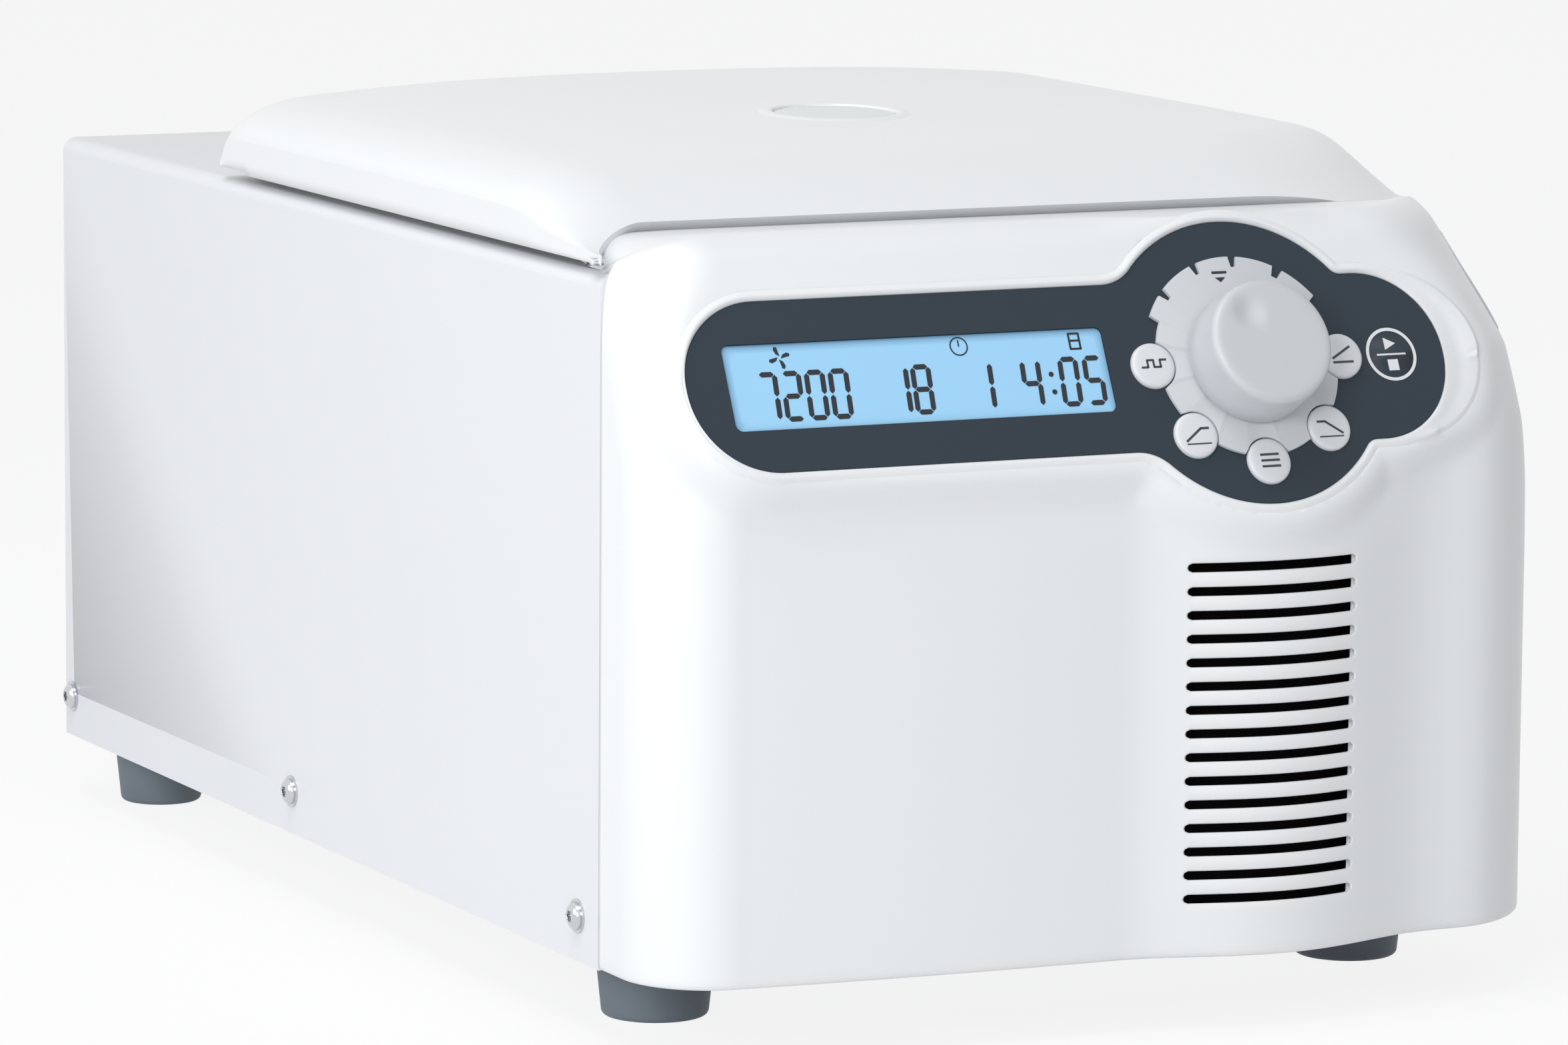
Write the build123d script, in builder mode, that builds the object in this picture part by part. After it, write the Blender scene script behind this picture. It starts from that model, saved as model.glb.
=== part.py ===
from build123d import *
import os
from math import sin, cos, tan, radians, sqrt

os.makedirs("parts", exist_ok=True)

# Overall sizes. X is the width, Y runs from the front to the back, Z is up, and the feet stand on Z = 0.
half_width = 166.0
foot_height = 24.0
cover_height = 224.0
cover_depth = 489.5
lid_crown_z = 283.0
fascia_reach = 53.3
column_proud = 10.2
rear_fitting = 4.0

# Control panel plane and the dial on it.
panel_lean = 27.0
dial_x = 45.0
dial_reach = 39.9
dial_above_base = 191.2
knob_radius = 22.0
knob_height = 20.5
knob_chamfer = 1.5

# The joint plane between fascia and cover is placed so that the whole machine is centred on Y = 0.
lean_sin = sin(radians(panel_lean))
lean_cos = cos(radians(panel_lean))
knob_reach = dial_reach + knob_height * lean_cos + (knob_radius - knob_chamfer) * lean_sin
seam_y = (knob_reach - cover_depth - rear_fitting) / 2
base_z = foot_height
cover_top_z = base_z + cover_height
rear_y = seam_y + cover_depth
sheet = 1.5
fit_gap = 0.3
fascia_wall = 3.0

# Fascia form: crowned plan, rounded corners, leaning shoulder and a short flat hood under the lid.
plan_corner_radius = 30.0
crown_sagitta = 9.0
fascia_side_y = seam_y - (fascia_reach - crown_sagitta)
fascia_front_y = seam_y - fascia_reach
shoulder_z = base_z + 166.5
hood_z = base_z + 236.5
hood_depth = 24.0
hood_y = fascia_front_y + (hood_z - shoulder_z) * tan(radians(panel_lean))
hood_corner_drop = 13.0
hood_corner_width = 35.0
right_plan_radius = 50.0
right_shoulder_sizes = [(shoulder_z, 50.0, 52.0), (base_z + 193.0, 48.0, 65.0), (hood_z + 1.0, 70.0, 155.0)]
column_x = 50.0
column_half = 44.0
hood_radius = 14.0

# Lid form.
lid_skirt_gap = 3.0
lid_rear_y = seam_y + 330.0
lid_slope = 22.0
lid_slope_end_y = seam_y + 62.0
lid_wall = 3.0
lid_gap = 1.5
lid_side_radius = 14.0
lid_corner_radius = 86.0
lid_edge_z = lid_crown_z - 8.0
liner_front = seam_y + 36.0
port_radius = 25.0
port_seat_z = lid_crown_z - 3.5
skirt_z = cover_top_z + lid_skirt_gap

# Chamber, rotor and drive, all on one axis.
rotor_y = seam_y + 175.0
bowl_radius = 106.0
bowl_floor_z = base_z + 110.0
bowl_wall = 1.2
deck_thickness = 3.0
shaft_radius = 6.0
rotor_radius = 88.0
rotor_height = 46.0
rotor_base_z = bowl_floor_z + 22.0
tube_count = 24
tube_radius = 5.6
tube_circle = 66.0
tube_tilt = 45.0
motor_radius = 46.0
motor_height = 78.0
mount_plate_z = base_z + 14.0

# Hinge and latch of the lid.
hinge_y = seam_y + 323.2
hinge_z = cover_top_z + 8.5
hinge_x = 112.0
pin_radius = 2.0
pin_clearance = 0.06
knuckle_radius = 3.6
knuckle_width = 9.0
knuckle_reach = 17.0
bracket_width = 12.0
side_gap = 0.4
rear_relief = 1.1
hook_width = 12.0
hook_low_z = cover_top_z - 16.0
latch_travel = 5.0

# Electrical and cooling parts behind the chamber.
fan_x = -62.0
fan_z = base_z + 118.0
fan_size = 120.0
fan_bore = 57.0
fan_depth = 25.0
blade_count = 7
inlet_x = 108.0
inlet_z = base_z + 44.0
switch_z = base_z + 96.0
foot_y_front = seam_y + 37.0
foot_y_rear = seam_y + 469.0
foot_x_front = 129.0
foot_x_rear = 136.0
screw_ys = [seam_y + 16.0, seam_y + 262.6, seam_y + 482.0]
screw_z = base_z + 15.0
screw_head_radius = 4.6
washer_radius = 5.6

# Control panel outline and what stands on it, in the panel's own plane from the dial's axis.
overlay_thick = 1.2
overlay_clear = 0.15
bar_left = -199.0
bar_half = 28.6
lobe_radius = 48.5
tail_x = 44.5
tail_radius = 28.6
waist_radius = 16.0
tail_waist_radius = 5.0
lcd_left = -184.7
lcd_right = -50.2
lcd_half = 14.3
lcd_radius = 2.5
key_radius = 7.7
key_circle = 34.5
key_clear = 0.08
key_angles = [180, 225, 270, 315, 0]
key_names = ["pulse_button", "accelerate_button", "preset_button", "brake_button", "lid_button"]
key_centres = [(key_circle * cos(radians(a)), key_circle * sin(radians(a))) for a in key_angles]
start_x = 53.8
start_radius = 9.4
encoder_hole = 5.0

# Cover openings, feet and screws.
screw_hole = 2.2
washer_thick = 0.8
screw_head_height = 2.4
screw_socket = 1.9
front_foot_radius = 17.5
rear_foot_radius = 14.8
foot_taper = 6.0
latch_x = 46.0
latch_y = seam_y + 38.0
latch_slot = 14.0
deck_half = 155.0
deck_front = seam_y + 30.0
deck_back = seam_y + 308.0
hinge_bay = 44.0
motor_neck = 17.0
shaft_fit = 0.04
tube_depth = 26.0

# Rear fittings.
fan_pitch = 105.0
guard_thick = 2.6
guard_rings = 5
inlet_width = 28.0
inlet_height = 40.0
drawer_width = 22.0
drawer_height = 10.0
switch_width = 20.0
switch_height = 28.0
core_width = 118.0
core_depth = 30.0
fin_count = 20
core_rows = 4

# Vent slots on the column.
vent_count = 15
vent_pitch = 7.73
vent_low_z = base_z + 19.5
vent_length = 61.0
vent_height = 2.9


def finish(part, name):
    """Label one sub-part and write it to its own file."""
    part.label = name
    export_step(part, "parts/" + name + ".step")


def prism_x(points, radii, half=400.0):
    """A solid from a side profile, (y, z) points each with its corner radius, run across the width."""
    with BuildPart() as prism:
        with BuildSketch(Plane.YZ.offset(-half)):
            with BuildLine():
                FilletPolyline(points, radius=radii, close=True)
            make_face()
        extrude(amount=2 * half)
    return prism.part


def plan_prism(inset, back_y, top_z):
    """The fascia's crowned plan with rounded corners, drawn in by inset and run upwards."""
    side_x = half_width - inset
    front_y = fascia_side_y + inset
    with BuildPart() as prism:
        with BuildSketch(Plane.XY.offset(base_z)) as plan:
            with BuildLine():
                ThreePointArc((-side_x, front_y), (0, front_y - crown_sagitta), (side_x, front_y))
                Polyline((side_x, front_y), (side_x, back_y), (-side_x, back_y), (-side_x, front_y))
            make_face()
            for corner_x, radius in [(-side_x, plan_corner_radius), (side_x, right_plan_radius)]:
                corner = plan.vertices().sort_by_distance((corner_x, front_y, 0))[0]
                fillet(corner, radius - inset)
        extrude(amount=top_z - base_z)
    return prism.part


def right_corner(inset, lean_y, levels, back_y):
    """A tall block with a rounded right front corner, from levels of height and the corner's two sizes."""
    far = 400.0
    low_z = levels[0][0]
    side_x = half_width - inset
    round_pull = 0.5523
    with BuildPart() as block:
        for z, width, depth in levels:
            front_y = lean_y(z) + inset
            start_x = half_width - width
            end_y = lean_y(z) + depth
            with BuildSketch(Plane.XY.offset(z)):
                with BuildLine():
                    Bezier((start_x, front_y), (start_x + round_pull * (side_x - start_x), front_y),
                           (side_x, end_y - round_pull * (end_y - front_y)), (side_x, end_y))
                    Polyline((side_x, end_y), (side_x, back_y), (-far, back_y), (-far, front_y),
                             (start_x, front_y))
                make_face()
        loft(ruled=True)
        with BuildSketch(Plane.XY.offset(low_z)):
            Rectangle(2 * far, 2 * far)
        extrude(amount=-(low_z - base_z + 2.0))
    return block.part


def arch_prism(wide, top, drop, flat_half, low_z, front_y, back_y):
    """A front view with a flat top and arched shoulders, run from front_y to back_y."""
    reach = wide - flat_half
    rim_z = top - drop
    bend_x = flat_half + reach * sin(radians(45))
    bend_z = rim_z + drop * cos(radians(45))
    with BuildPart() as prism:
        with BuildSketch(Plane.XZ.offset(-back_y)):
            with BuildLine():
                Polyline((-wide, rim_z), (-wide, low_z), (wide, low_z), (wide, rim_z))
                ThreePointArc((wide, rim_z), (bend_x, bend_z), (flat_half, top))
                Line((flat_half, top), (-flat_half, top))
                ThreePointArc((-flat_half, top), (-bend_x, bend_z), (-wide, rim_z))
            make_face()
        extrude(amount=back_y - front_y)
    return prism.part


def right_shoulder(inset):
    """The block that rounds the right shoulder of the fascia and of the cover behind it."""
    lean_tan = tan(radians(panel_lean))
    return right_corner(inset, lambda z: fascia_front_y - 1.0 + (z - shoulder_z) * lean_tan,
                        right_shoulder_sizes, rear_y + 50.0)


def fascia_form(inset):
    """The solid form of the fascia, drawn in by inset for the inside of its wall."""
    back_y = seam_y + hood_depth
    front = fascia_front_y + inset
    lean_tan = tan(radians(panel_lean))
    low = base_z - 1.0
    top = hood_z - inset
    lean_end = front + (top - shoulder_z) * lean_tan
    side = prism_x([(front, low), (front, shoulder_z), (lean_end, top), (back_y, top), (back_y, low)],
                   [0, 0, hood_radius, 0, 0])
    with BuildPart() as form:
        add(plan_prism(inset, back_y, hood_z))
        add(side, mode=Mode.INTERSECT)
        add(arch_prism(half_width - inset, top, hood_corner_drop, half_width - hood_corner_width - inset,
                       low, seam_y - 100.0, back_y), mode=Mode.INTERSECT)
        add(right_shoulder(inset), mode=Mode.INTERSECT)
    return form.part


def column_form(inset):
    """The rounded vent column that swells from the fascia's right half up to the dial."""
    peak_y = fascia_front_y - column_proud + inset
    foot_y = fascia_front_y + 2.5
    half = column_half - inset
    lean_tan = tan(radians(panel_lean))
    ahead = 40.0
    brow_z = shoulder_z - inset
    with BuildPart() as column:
        with BuildSketch(Plane.XY.offset(base_z)):
            with BuildLine():
                ThreePointArc((column_x - half, foot_y), (column_x, peak_y), (column_x + half, foot_y))
                Polyline((column_x + half, foot_y), (column_x + half, foot_y + 6.0),
                         (column_x - half, foot_y + 6.0), (column_x - half, foot_y))
            make_face()
        extrude(amount=shoulder_z - base_z)
        add(prism_x([(fascia_front_y - ahead, base_z - 1.0),
                     (fascia_front_y - ahead, brow_z - ahead / lean_tan),
                     (fascia_front_y, brow_z), (fascia_front_y + ahead, brow_z),
                     (fascia_front_y + ahead, base_z - 1.0)], [0, 0, 0, 0, 0]), mode=Mode.INTERSECT)
    return column.part


# Plane of the control panel: local X runs right, local Y runs up the slope, local Z points out.
panel_origin = (dial_x, seam_y - dial_reach, base_z + dial_above_base)
panel = Plane(origin=panel_origin, x_dir=(1, 0, 0), z_dir=(0, -lean_cos, lean_sin))


def panel_outline(grow, low, high):
    """The control panel's outline, a long bar with the dial's lobe and a rounded tail, as a slab."""
    with BuildPart() as slab:
        with BuildSketch(Plane(panel.location * Location((0, 0, low)))) as outline:
            bar_right = tail_x + tail_radius
            with Locations(((bar_left + bar_right) / 2, 0)):
                RectangleRounded(bar_right - bar_left, 2 * bar_half, bar_half - 0.5)
            Circle(lobe_radius)
            lobe_half = sqrt(lobe_radius ** 2 - bar_half ** 2)
            for side, radius in [(-1, waist_radius), (1, tail_waist_radius)]:
                for top in [-1, 1]:
                    corner = (side * lobe_half, top * bar_half, 0)
                    fillet(outline.vertices().sort_by_distance(corner)[0], radius)
            offset(amount=grow)
        extrude(amount=high - low)
    return slab.part


def panel_block(width, height, low, high, centre, radius=0.0):
    """A block standing on the control panel's plane, with rounded corners."""
    with BuildPart() as block:
        with BuildSketch(Plane(panel.location * Location((centre[0], centre[1], low)))):
            if radius > 0:
                RectangleRounded(width, height, radius)
            else:
                Rectangle(width, height)
        extrude(amount=high - low)
    return block.part


def panel_disc(radius, low, high, centre=(0.0, 0.0)):
    """A round disc standing on the control panel's plane."""
    with BuildPart() as disc:
        with BuildSketch(Plane(panel.location * Location((centre[0], centre[1], low)))):
            Circle(radius)
        extrude(amount=high - low)
    return disc.part


# Front fascia: a moulded shell with the panel's recess, the vent slots and its openings.
with BuildPart() as front_fascia:
    add(fascia_form(0.0))
    add(column_form(0.0))
    add(fascia_form(fascia_wall), mode=Mode.SUBTRACT)
    add(column_form(fascia_wall), mode=Mode.SUBTRACT)
    with BuildSketch(Plane.XY.offset(base_z)):
        with Locations((0, seam_y + 100.0)):
            Rectangle(2 * half_width + 2, 200.0)
    extrude(amount=cover_height + fit_gap, mode=Mode.SUBTRACT)
    add(panel_outline(overlay_clear, -overlay_thick, 30.0), mode=Mode.SUBTRACT)
    add(panel_block(lcd_right - lcd_left + 6.0, 2 * lcd_half + 6.0, -20.0, 5.0,
                    ((lcd_left + lcd_right) / 2, 0)), mode=Mode.SUBTRACT)
    add(panel_disc(encoder_hole, -20.0, 5.0), mode=Mode.SUBTRACT)
    for centre in key_centres:
        add(panel_disc(key_radius + key_clear, -20.0, 5.0, centre), mode=Mode.SUBTRACT)
    add(panel_disc(start_radius + key_clear, -20.0, 5.0, (start_x, 0)), mode=Mode.SUBTRACT)
    with BuildSketch(Plane.XZ.offset(-(seam_y - 20.0))):
        for row in range(vent_count):
            with Locations((column_x - 4.0, vent_low_z + row * vent_pitch)):
                SlotOverall(vent_length, vent_height)
    extrude(amount=60.0, mode=Mode.SUBTRACT)
finish(front_fascia.part, "front_fascia")


def plate(width, depth, low, high, centre=(0.0, 0.0), radius=0.0):
    """A flat block, given by its size, its lower and upper height and its middle."""
    with BuildPart() as block:
        with BuildSketch(Plane.XY.offset(low)):
            with Locations(centre):
                if radius > 0:
                    RectangleRounded(width, depth, radius)
                else:
                    Rectangle(width, depth)
        extrude(amount=high - low)
    return block.part


def drum(radius, low, high, centre):
    """An upright cylinder."""
    with BuildPart() as cylinder:
        with BuildSketch(Plane.XY.offset(low)):
            with Locations(centre):
                Circle(radius)
        extrude(amount=high - low)
    return cylinder.part


def bar_y(radius, front_y, back_y, x, z):
    """A cylinder lying from front to back."""
    with BuildPart() as cylinder:
        with BuildSketch(Plane.XZ.offset(-back_y)):
            with Locations((x, z)):
                Circle(radius)
        extrude(amount=back_y - front_y)
    return cylinder.part


def bar_x(radius, left_x, right_x, y, z):
    """A cylinder lying from left to right."""
    with BuildPart() as cylinder:
        with BuildSketch(Plane.YZ.offset(left_x)):
            with Locations((y, z)):
                Circle(radius)
        extrude(amount=right_x - left_x)
    return cylinder.part


def turned(points):
    """A solid turned about the rotor's axis from (radius, height) points."""
    with BuildPart() as solid:
        with BuildSketch(Plane.XZ.offset(-rotor_y)):
            with BuildLine():
                Polyline(points, close=True)
            make_face()
        revolve(axis=Axis((0, rotor_y, 0), (0, 0, 1)))
    return solid.part


# Control panel: a film with its openings, laid in the fascia's recess.
lcd_middle = ((lcd_left + lcd_right) / 2, 0)
lcd_width = lcd_right - lcd_left
with BuildPart() as control_overlay:
    add(panel_outline(0.0, -overlay_thick, 0.0))
    add(panel_block(lcd_width + 2 * overlay_clear, 2 * lcd_half + 2 * overlay_clear, -9.0, 9.0,
                    lcd_middle, lcd_radius), mode=Mode.SUBTRACT)
    add(panel_disc(encoder_hole, -9.0, 9.0), mode=Mode.SUBTRACT)
    for centre in key_centres:
        add(panel_disc(key_radius + key_clear, -9.0, 9.0, centre), mode=Mode.SUBTRACT)
    add(panel_disc(start_radius + key_clear, -9.0, 9.0, (start_x, 0)), mode=Mode.SUBTRACT)
finish(control_overlay.part, "control_overlay")

# Display: a clear window in the film and the module behind it.
lcd_depth = 7.0
lcd_border = 2.0
window_sunk = 0.2
finish(panel_block(lcd_width, 2 * lcd_half, -overlay_thick, -window_sunk, lcd_middle, lcd_radius - 0.2),
       "lcd_window")
finish(panel_block(lcd_width + 2 * lcd_border, 2 * (lcd_half + lcd_border), -overlay_thick - lcd_depth,
                   -overlay_thick, lcd_middle), "lcd_module")

# Control board behind the display and the keys.
board_high = -overlay_thick - lcd_depth
board_thick = 1.6
board_low = board_high - board_thick
board_left = lcd_left - 4.0
board_right = start_x + start_radius + 3.0
board_half = 23.0
with BuildPart() as control_board:
    add(panel_block(-board_left, 2 * board_half, board_low, board_high, (board_left / 2, 0), 3.0))
    add(panel_disc(key_circle + key_radius, board_low, board_high))
    add(panel_block(board_right, board_half, board_low, board_high, (board_right / 2, 0)))
    add(panel_disc(encoder_hole, board_low - 9.0, 5.0), mode=Mode.SUBTRACT)
finish(control_board.part, "control_board")

# Dial: a light plate with raised marks and bays for the keys, the encoder, its shaft and the knob.
plate_radius = 32.5
plate_high = 1.3
mark_reach = 3.6
with BuildPart() as dial_plate:
    with BuildSketch(panel):
        Circle(plate_radius)
        for first, last in [(36, 58), (63, 84), (89, 108), (113, 134), (139, 152)]:
            with BuildLine():
                rim = CenterArc((0, 0), plate_radius + mark_reach, first, last - first)
                Polyline(rim @ 0, (0, 0), rim @ 1)
            make_face()
        Circle(knob_radius * 0.5, mode=Mode.SUBTRACT)
        for centre in key_centres:
            with Locations(centre):
                Circle(key_radius + 0.4, mode=Mode.SUBTRACT)
    extrude(amount=plate_high)
finish(dial_plate.part, "dial_plate")

knob_low = plate_high + 1.0
encoder_shaft_radius = 3.0
knob_travel = 0.8
knob_bore_fit = 0.04
with BuildPart() as dial_knob:
    add(panel_disc(knob_radius, knob_low, knob_height))
    rim = dial_knob.faces().sort_by_distance(panel.from_local_coords((0, 0, knob_height)))[0].edges()
    chamfer(rim, knob_chamfer)
    add(panel_disc(knob_radius - 3.0, knob_low, knob_low + 6.0), mode=Mode.SUBTRACT)
    add(panel_disc(encoder_shaft_radius + knob_bore_fit, knob_low, knob_height - 6.0), mode=Mode.SUBTRACT)
    with Locations(Location(panel.from_local_coords((-7.0, 11.0, knob_height + 28.8)))):
        Sphere(30.0, mode=Mode.SUBTRACT)
finish(dial_knob.part, "dial_knob")

encoder_low = board_low - 8.0
encoder_floor = 1.0
encoder_fit = 0.06
with BuildPart() as encoder_body:
    add(panel_block(14.0, 14.0, encoder_low, board_low, (0, 0), 1.0))
    add(panel_disc(encoder_hole - 0.5, board_low, -overlay_thick))
    add(panel_disc(encoder_shaft_radius + encoder_fit, encoder_low + encoder_floor, 5.0), mode=Mode.SUBTRACT)
finish(encoder_body.part, "encoder_body")
shaft_low = encoder_low + encoder_floor + knob_travel + 0.15
finish(panel_disc(encoder_shaft_radius, shaft_low, knob_height - 6.2), "encoder_shaft")

# Keys: round caps that travel square to the panel, each on its own switch on the board.
key_high = 1.8
key_low = -overlay_thick - 4.0
key_travel = 0.7
for centre, key_name in zip(key_centres, key_names):
    with BuildPart() as key_cap:
        add(panel_disc(key_radius, key_low, key_high, centre))
        face = key_cap.faces().sort_by_distance(panel.from_local_coords((centre[0], centre[1], key_high)))[0]
        fillet(face.edges(), 0.8)
    finish(key_cap.part, key_name)
finish(panel_disc(start_radius, key_low, 0.0, (start_x, 0)), "start_stop_button")
with BuildPart() as key_switches:
    for centre in key_centres + [(start_x, 0)]:
        add(panel_block(6.0, 6.0, board_high, key_low - key_travel - 0.1, centre))
finish(key_switches.part, "key_switches")

# Painted cover: a folded sheet over the sides and top, open at the front, rear and bottom.
cover_bend = 5.0
chamber_hole = bowl_radius + 14.0


def cover_form(inset, past):
    """The cover's solid form with bent upper edges and the right shoulder, past its ends for the inside."""
    side_x = half_width - inset
    with BuildPart() as form:
        with BuildSketch(Plane.XZ.offset(-(rear_y + past))) as section:
            with BuildLine():
                Polyline((-side_x, base_z - past), (-side_x, cover_top_z - inset),
                         (side_x, cover_top_z - inset), (side_x, base_z - past), close=True)
            make_face()
            fillet(section.vertices().group_by(Axis.Y)[-1], cover_bend - inset)
        extrude(amount=cover_depth + 2 * past)
        add(right_shoulder(inset), mode=Mode.INTERSECT)
    return form.part


with BuildPart() as cabinet_cover:
    add(cover_form(0.0, 0.0))
    add(cover_form(sheet, 1.0), mode=Mode.SUBTRACT)
    add(drum(chamber_hole, cover_top_z - 9.0, cover_top_z + 9.0, (0, rotor_y)), mode=Mode.SUBTRACT)
    add(plate(2 * latch_x + 30.0, 22.0, cover_top_z - 9.0, cover_top_z + 9.0, (0, latch_y)),
        mode=Mode.SUBTRACT)
    for y in screw_ys:
        add(bar_x(screw_hole, -half_width - 5.0, half_width + 5.0, y, screw_z), mode=Mode.SUBTRACT)
finish(cabinet_cover.part, "cabinet_cover")

# Base: a steel tray whose side flanges stand inside the cover and take its screws.
tray_half = half_width - sheet - 0.05
tray_front = seam_y + 2.0
tray_back = rear_y - sheet - 0.05
flange_height = 30.0
rear_flange_height = 18.0
with BuildPart() as base_plate:
    add(plate(2 * tray_half, tray_back - tray_front, base_z, base_z + 2.0, (0, (tray_front + tray_back) / 2)))
    for side in [-1, 1]:
        add(plate(2.0, tray_back - tray_front, base_z, base_z + flange_height,
                  (side * (tray_half - 1.0), (tray_front + tray_back) / 2)))
    add(plate(2 * tray_half, 2.0, base_z, base_z + rear_flange_height, (0, tray_back - 1.0)))
    for y in screw_ys:
        add(bar_x(screw_hole - 0.2, -half_width - 5.0, half_width + 5.0, y, screw_z), mode=Mode.SUBTRACT)
finish(base_plate.part, "base_plate")

# Side screws: button heads on washers, threaded into the tray's flanges.
screw_radius = screw_hole - 0.2
with BuildPart() as screw_washers:
    for side in [-1, 1]:
        for y in screw_ys:
            low = min(side * half_width, side * (half_width + washer_thick))
            ring = bar_x(washer_radius, low, low + washer_thick, y, screw_z)
            add(ring - bar_x(screw_radius, low - 1.0, low + 2.0, y, screw_z))
finish(screw_washers.part, "screw_washers")
with BuildPart() as side_screws:
    for side in [-1, 1]:
        for y in screw_ys:
            seat = half_width + washer_thick
            under_head = Plane(origin=(side * seat, y, screw_z), z_dir=(side, 0, 0))
            with BuildSketch(under_head):
                Circle(screw_head_radius)
            extrude(amount=screw_head_height, taper=28)
            with BuildSketch(under_head.offset(screw_head_height)):
                RegularPolygon(screw_socket, 6)
            extrude(amount=-1.4, mode=Mode.SUBTRACT)
            with BuildSketch(under_head):
                Circle(screw_radius)
            extrude(amount=-(seat - tray_half + 4.0))
finish(side_screws.part, "side_screws")

# Feet: tapered rubber, in pairs.
with BuildPart() as front_feet:
    with BuildSketch():
        with Locations((-foot_x_front, foot_y_front), (foot_x_front, foot_y_front)):
            Circle(front_foot_radius)
    extrude(amount=foot_height, taper=-foot_taper)
    fillet(front_feet.faces().filter_by(Plane.XY).group_by(Axis.Z)[0].edges(), 2.0)
finish(front_feet.part, "front_feet")
with BuildPart() as rear_feet:
    with BuildSketch():
        with Locations((-foot_x_rear, foot_y_rear), (foot_x_rear, foot_y_rear)):
            Circle(rear_foot_radius)
    extrude(amount=foot_height, taper=-foot_taper)
    fillet(rear_feet.faces().filter_by(Plane.XY).group_by(Axis.Z)[0].edges(), 2.0)
finish(rear_feet.part, "rear_feet")

# Chamber: a pressed bowl hung from its rim, foam round it, and the cooling coil against its wall.
rim_z = cover_top_z + deck_thickness
rim_reach = bowl_radius + 9.0
bowl_outer = bowl_radius + bowl_wall
hub_bore = motor_neck + 1.0
finish(turned([
    (hub_bore, bowl_floor_z), (bowl_outer, bowl_floor_z), (bowl_outer, rim_z - bowl_wall),
    (rim_reach, rim_z - bowl_wall), (rim_reach, rim_z), (bowl_radius, rim_z),
    (bowl_radius, bowl_floor_z + bowl_wall), (hub_bore, bowl_floor_z + bowl_wall)]), "chamber_bowl")
coil_radius = 4.0
coil_turns = 5
coil_pitch = 17.0
coil_low_z = bowl_floor_z + 16.0
foam_outer = bowl_outer + 2 * coil_radius + 24.0
foam_high = cover_top_z - sheet - 0.3
housing_half = latch_x + 17.0
housing_depth = 30.0
housing_y = latch_y + 5.0
housing_low = hook_low_z - 5.0
with BuildPart() as evaporator_coil:
    for turn in range(coil_turns):
        with BuildSketch(Plane.XZ.offset(-rotor_y)):
            with Locations((bowl_outer + coil_radius, coil_low_z + turn * coil_pitch)):
                RegularPolygon(coil_radius, 8)
        revolve(axis=Axis((0, rotor_y, 0), (0, 0, 1)))
    for side in [-1, 1]:
        add(drum(coil_radius, bowl_floor_z - 22.0, coil_low_z + (coil_turns - 1) * coil_pitch,
                 (side * 9.0, rotor_y + bowl_outer + coil_radius)))
finish(evaporator_coil.part, "evaporator_coil")
with BuildPart() as chamber_insulation:
    add(plate(2 * foam_outer, 2 * foam_outer, bowl_floor_z - 14.0, foam_high, (0, rotor_y), 30.0))
    add(drum(bowl_outer + 2 * coil_radius + 0.3, bowl_floor_z - 0.1, foam_high + 9.0, (0, rotor_y)),
        mode=Mode.SUBTRACT)
    add(drum(hub_bore + 0.6, base_z, foam_high, (0, rotor_y)), mode=Mode.SUBTRACT)
    add(plate(2 * housing_half + 1.0, housing_depth + 4.0, housing_low - 0.2, foam_high + 9.0,
              (0, housing_y)), mode=Mode.SUBTRACT)
    for side in [-1, 1]:
        add(drum(coil_radius + 0.3, base_z, foam_high,
                 (side * 9.0, rotor_y + bowl_outer + coil_radius)), mode=Mode.SUBTRACT)
finish(chamber_insulation.part, "chamber_insulation")

# Top deck: the moulded plate under the lid, round the chamber, with the latch slots and gasket groove.
gasket_inner = rim_reach + 0.5
gasket_outer = gasket_inner + 6.0
gasket_high = rim_z + 2.6
finish(turned([(gasket_inner, rim_z), (gasket_outer, rim_z), (gasket_outer - 2.0, gasket_high),
               (gasket_inner + 2.0, gasket_high)]), "bowl_gasket")

# Drive: a motor on a plate carried by rubber dampers, with its shaft in two bearings.
damper_circle = 74.0
with BuildPart() as vibration_dampers:
    with BuildSketch(Plane.XY.offset(base_z + 2.0)):
        with Locations((0, rotor_y)):
            with PolarLocations(damper_circle, 3, start_angle=30):
                Circle(9.0)
    extrude(amount=mount_plate_z - base_z - 2.0)
finish(vibration_dampers.part, "vibration_dampers")
with BuildPart() as motor_mount_plate:
    add(drum(damper_circle + 14.0, mount_plate_z, mount_plate_z + 3.0, (0, rotor_y)))
    fillet(motor_mount_plate.edges().filter_by(GeomType.CIRCLE), 1.0)
finish(motor_mount_plate.part, "motor_mount_plate")
motor_low = mount_plate_z + 3.0
motor_high = motor_low + motor_height
neck_high = bowl_floor_z + 8.0
bearing_outer = 11.0
bearing_width = 8.0
bearing_low = motor_low + 8.0
bearing_high = neck_high - bearing_width
with BuildPart() as motor_housing:
    add(turned([(0, motor_low), (motor_radius, motor_low), (motor_radius, motor_high - 4.0),
                (motor_radius - 4.0, motor_high), (motor_neck, motor_high), (motor_neck, neck_high),
                (0, neck_high)]))
    add(drum(shaft_radius + 2.0, motor_low + 4.0, neck_high + 1.0, (0, rotor_y)), mode=Mode.SUBTRACT)
    add(drum(bearing_outer, bearing_low, bearing_low + bearing_width, (0, rotor_y)), mode=Mode.SUBTRACT)
    add(drum(bearing_outer, bearing_high, neck_high + 1.0, (0, rotor_y)), mode=Mode.SUBTRACT)
finish(motor_housing.part, "motor_housing")
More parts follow.
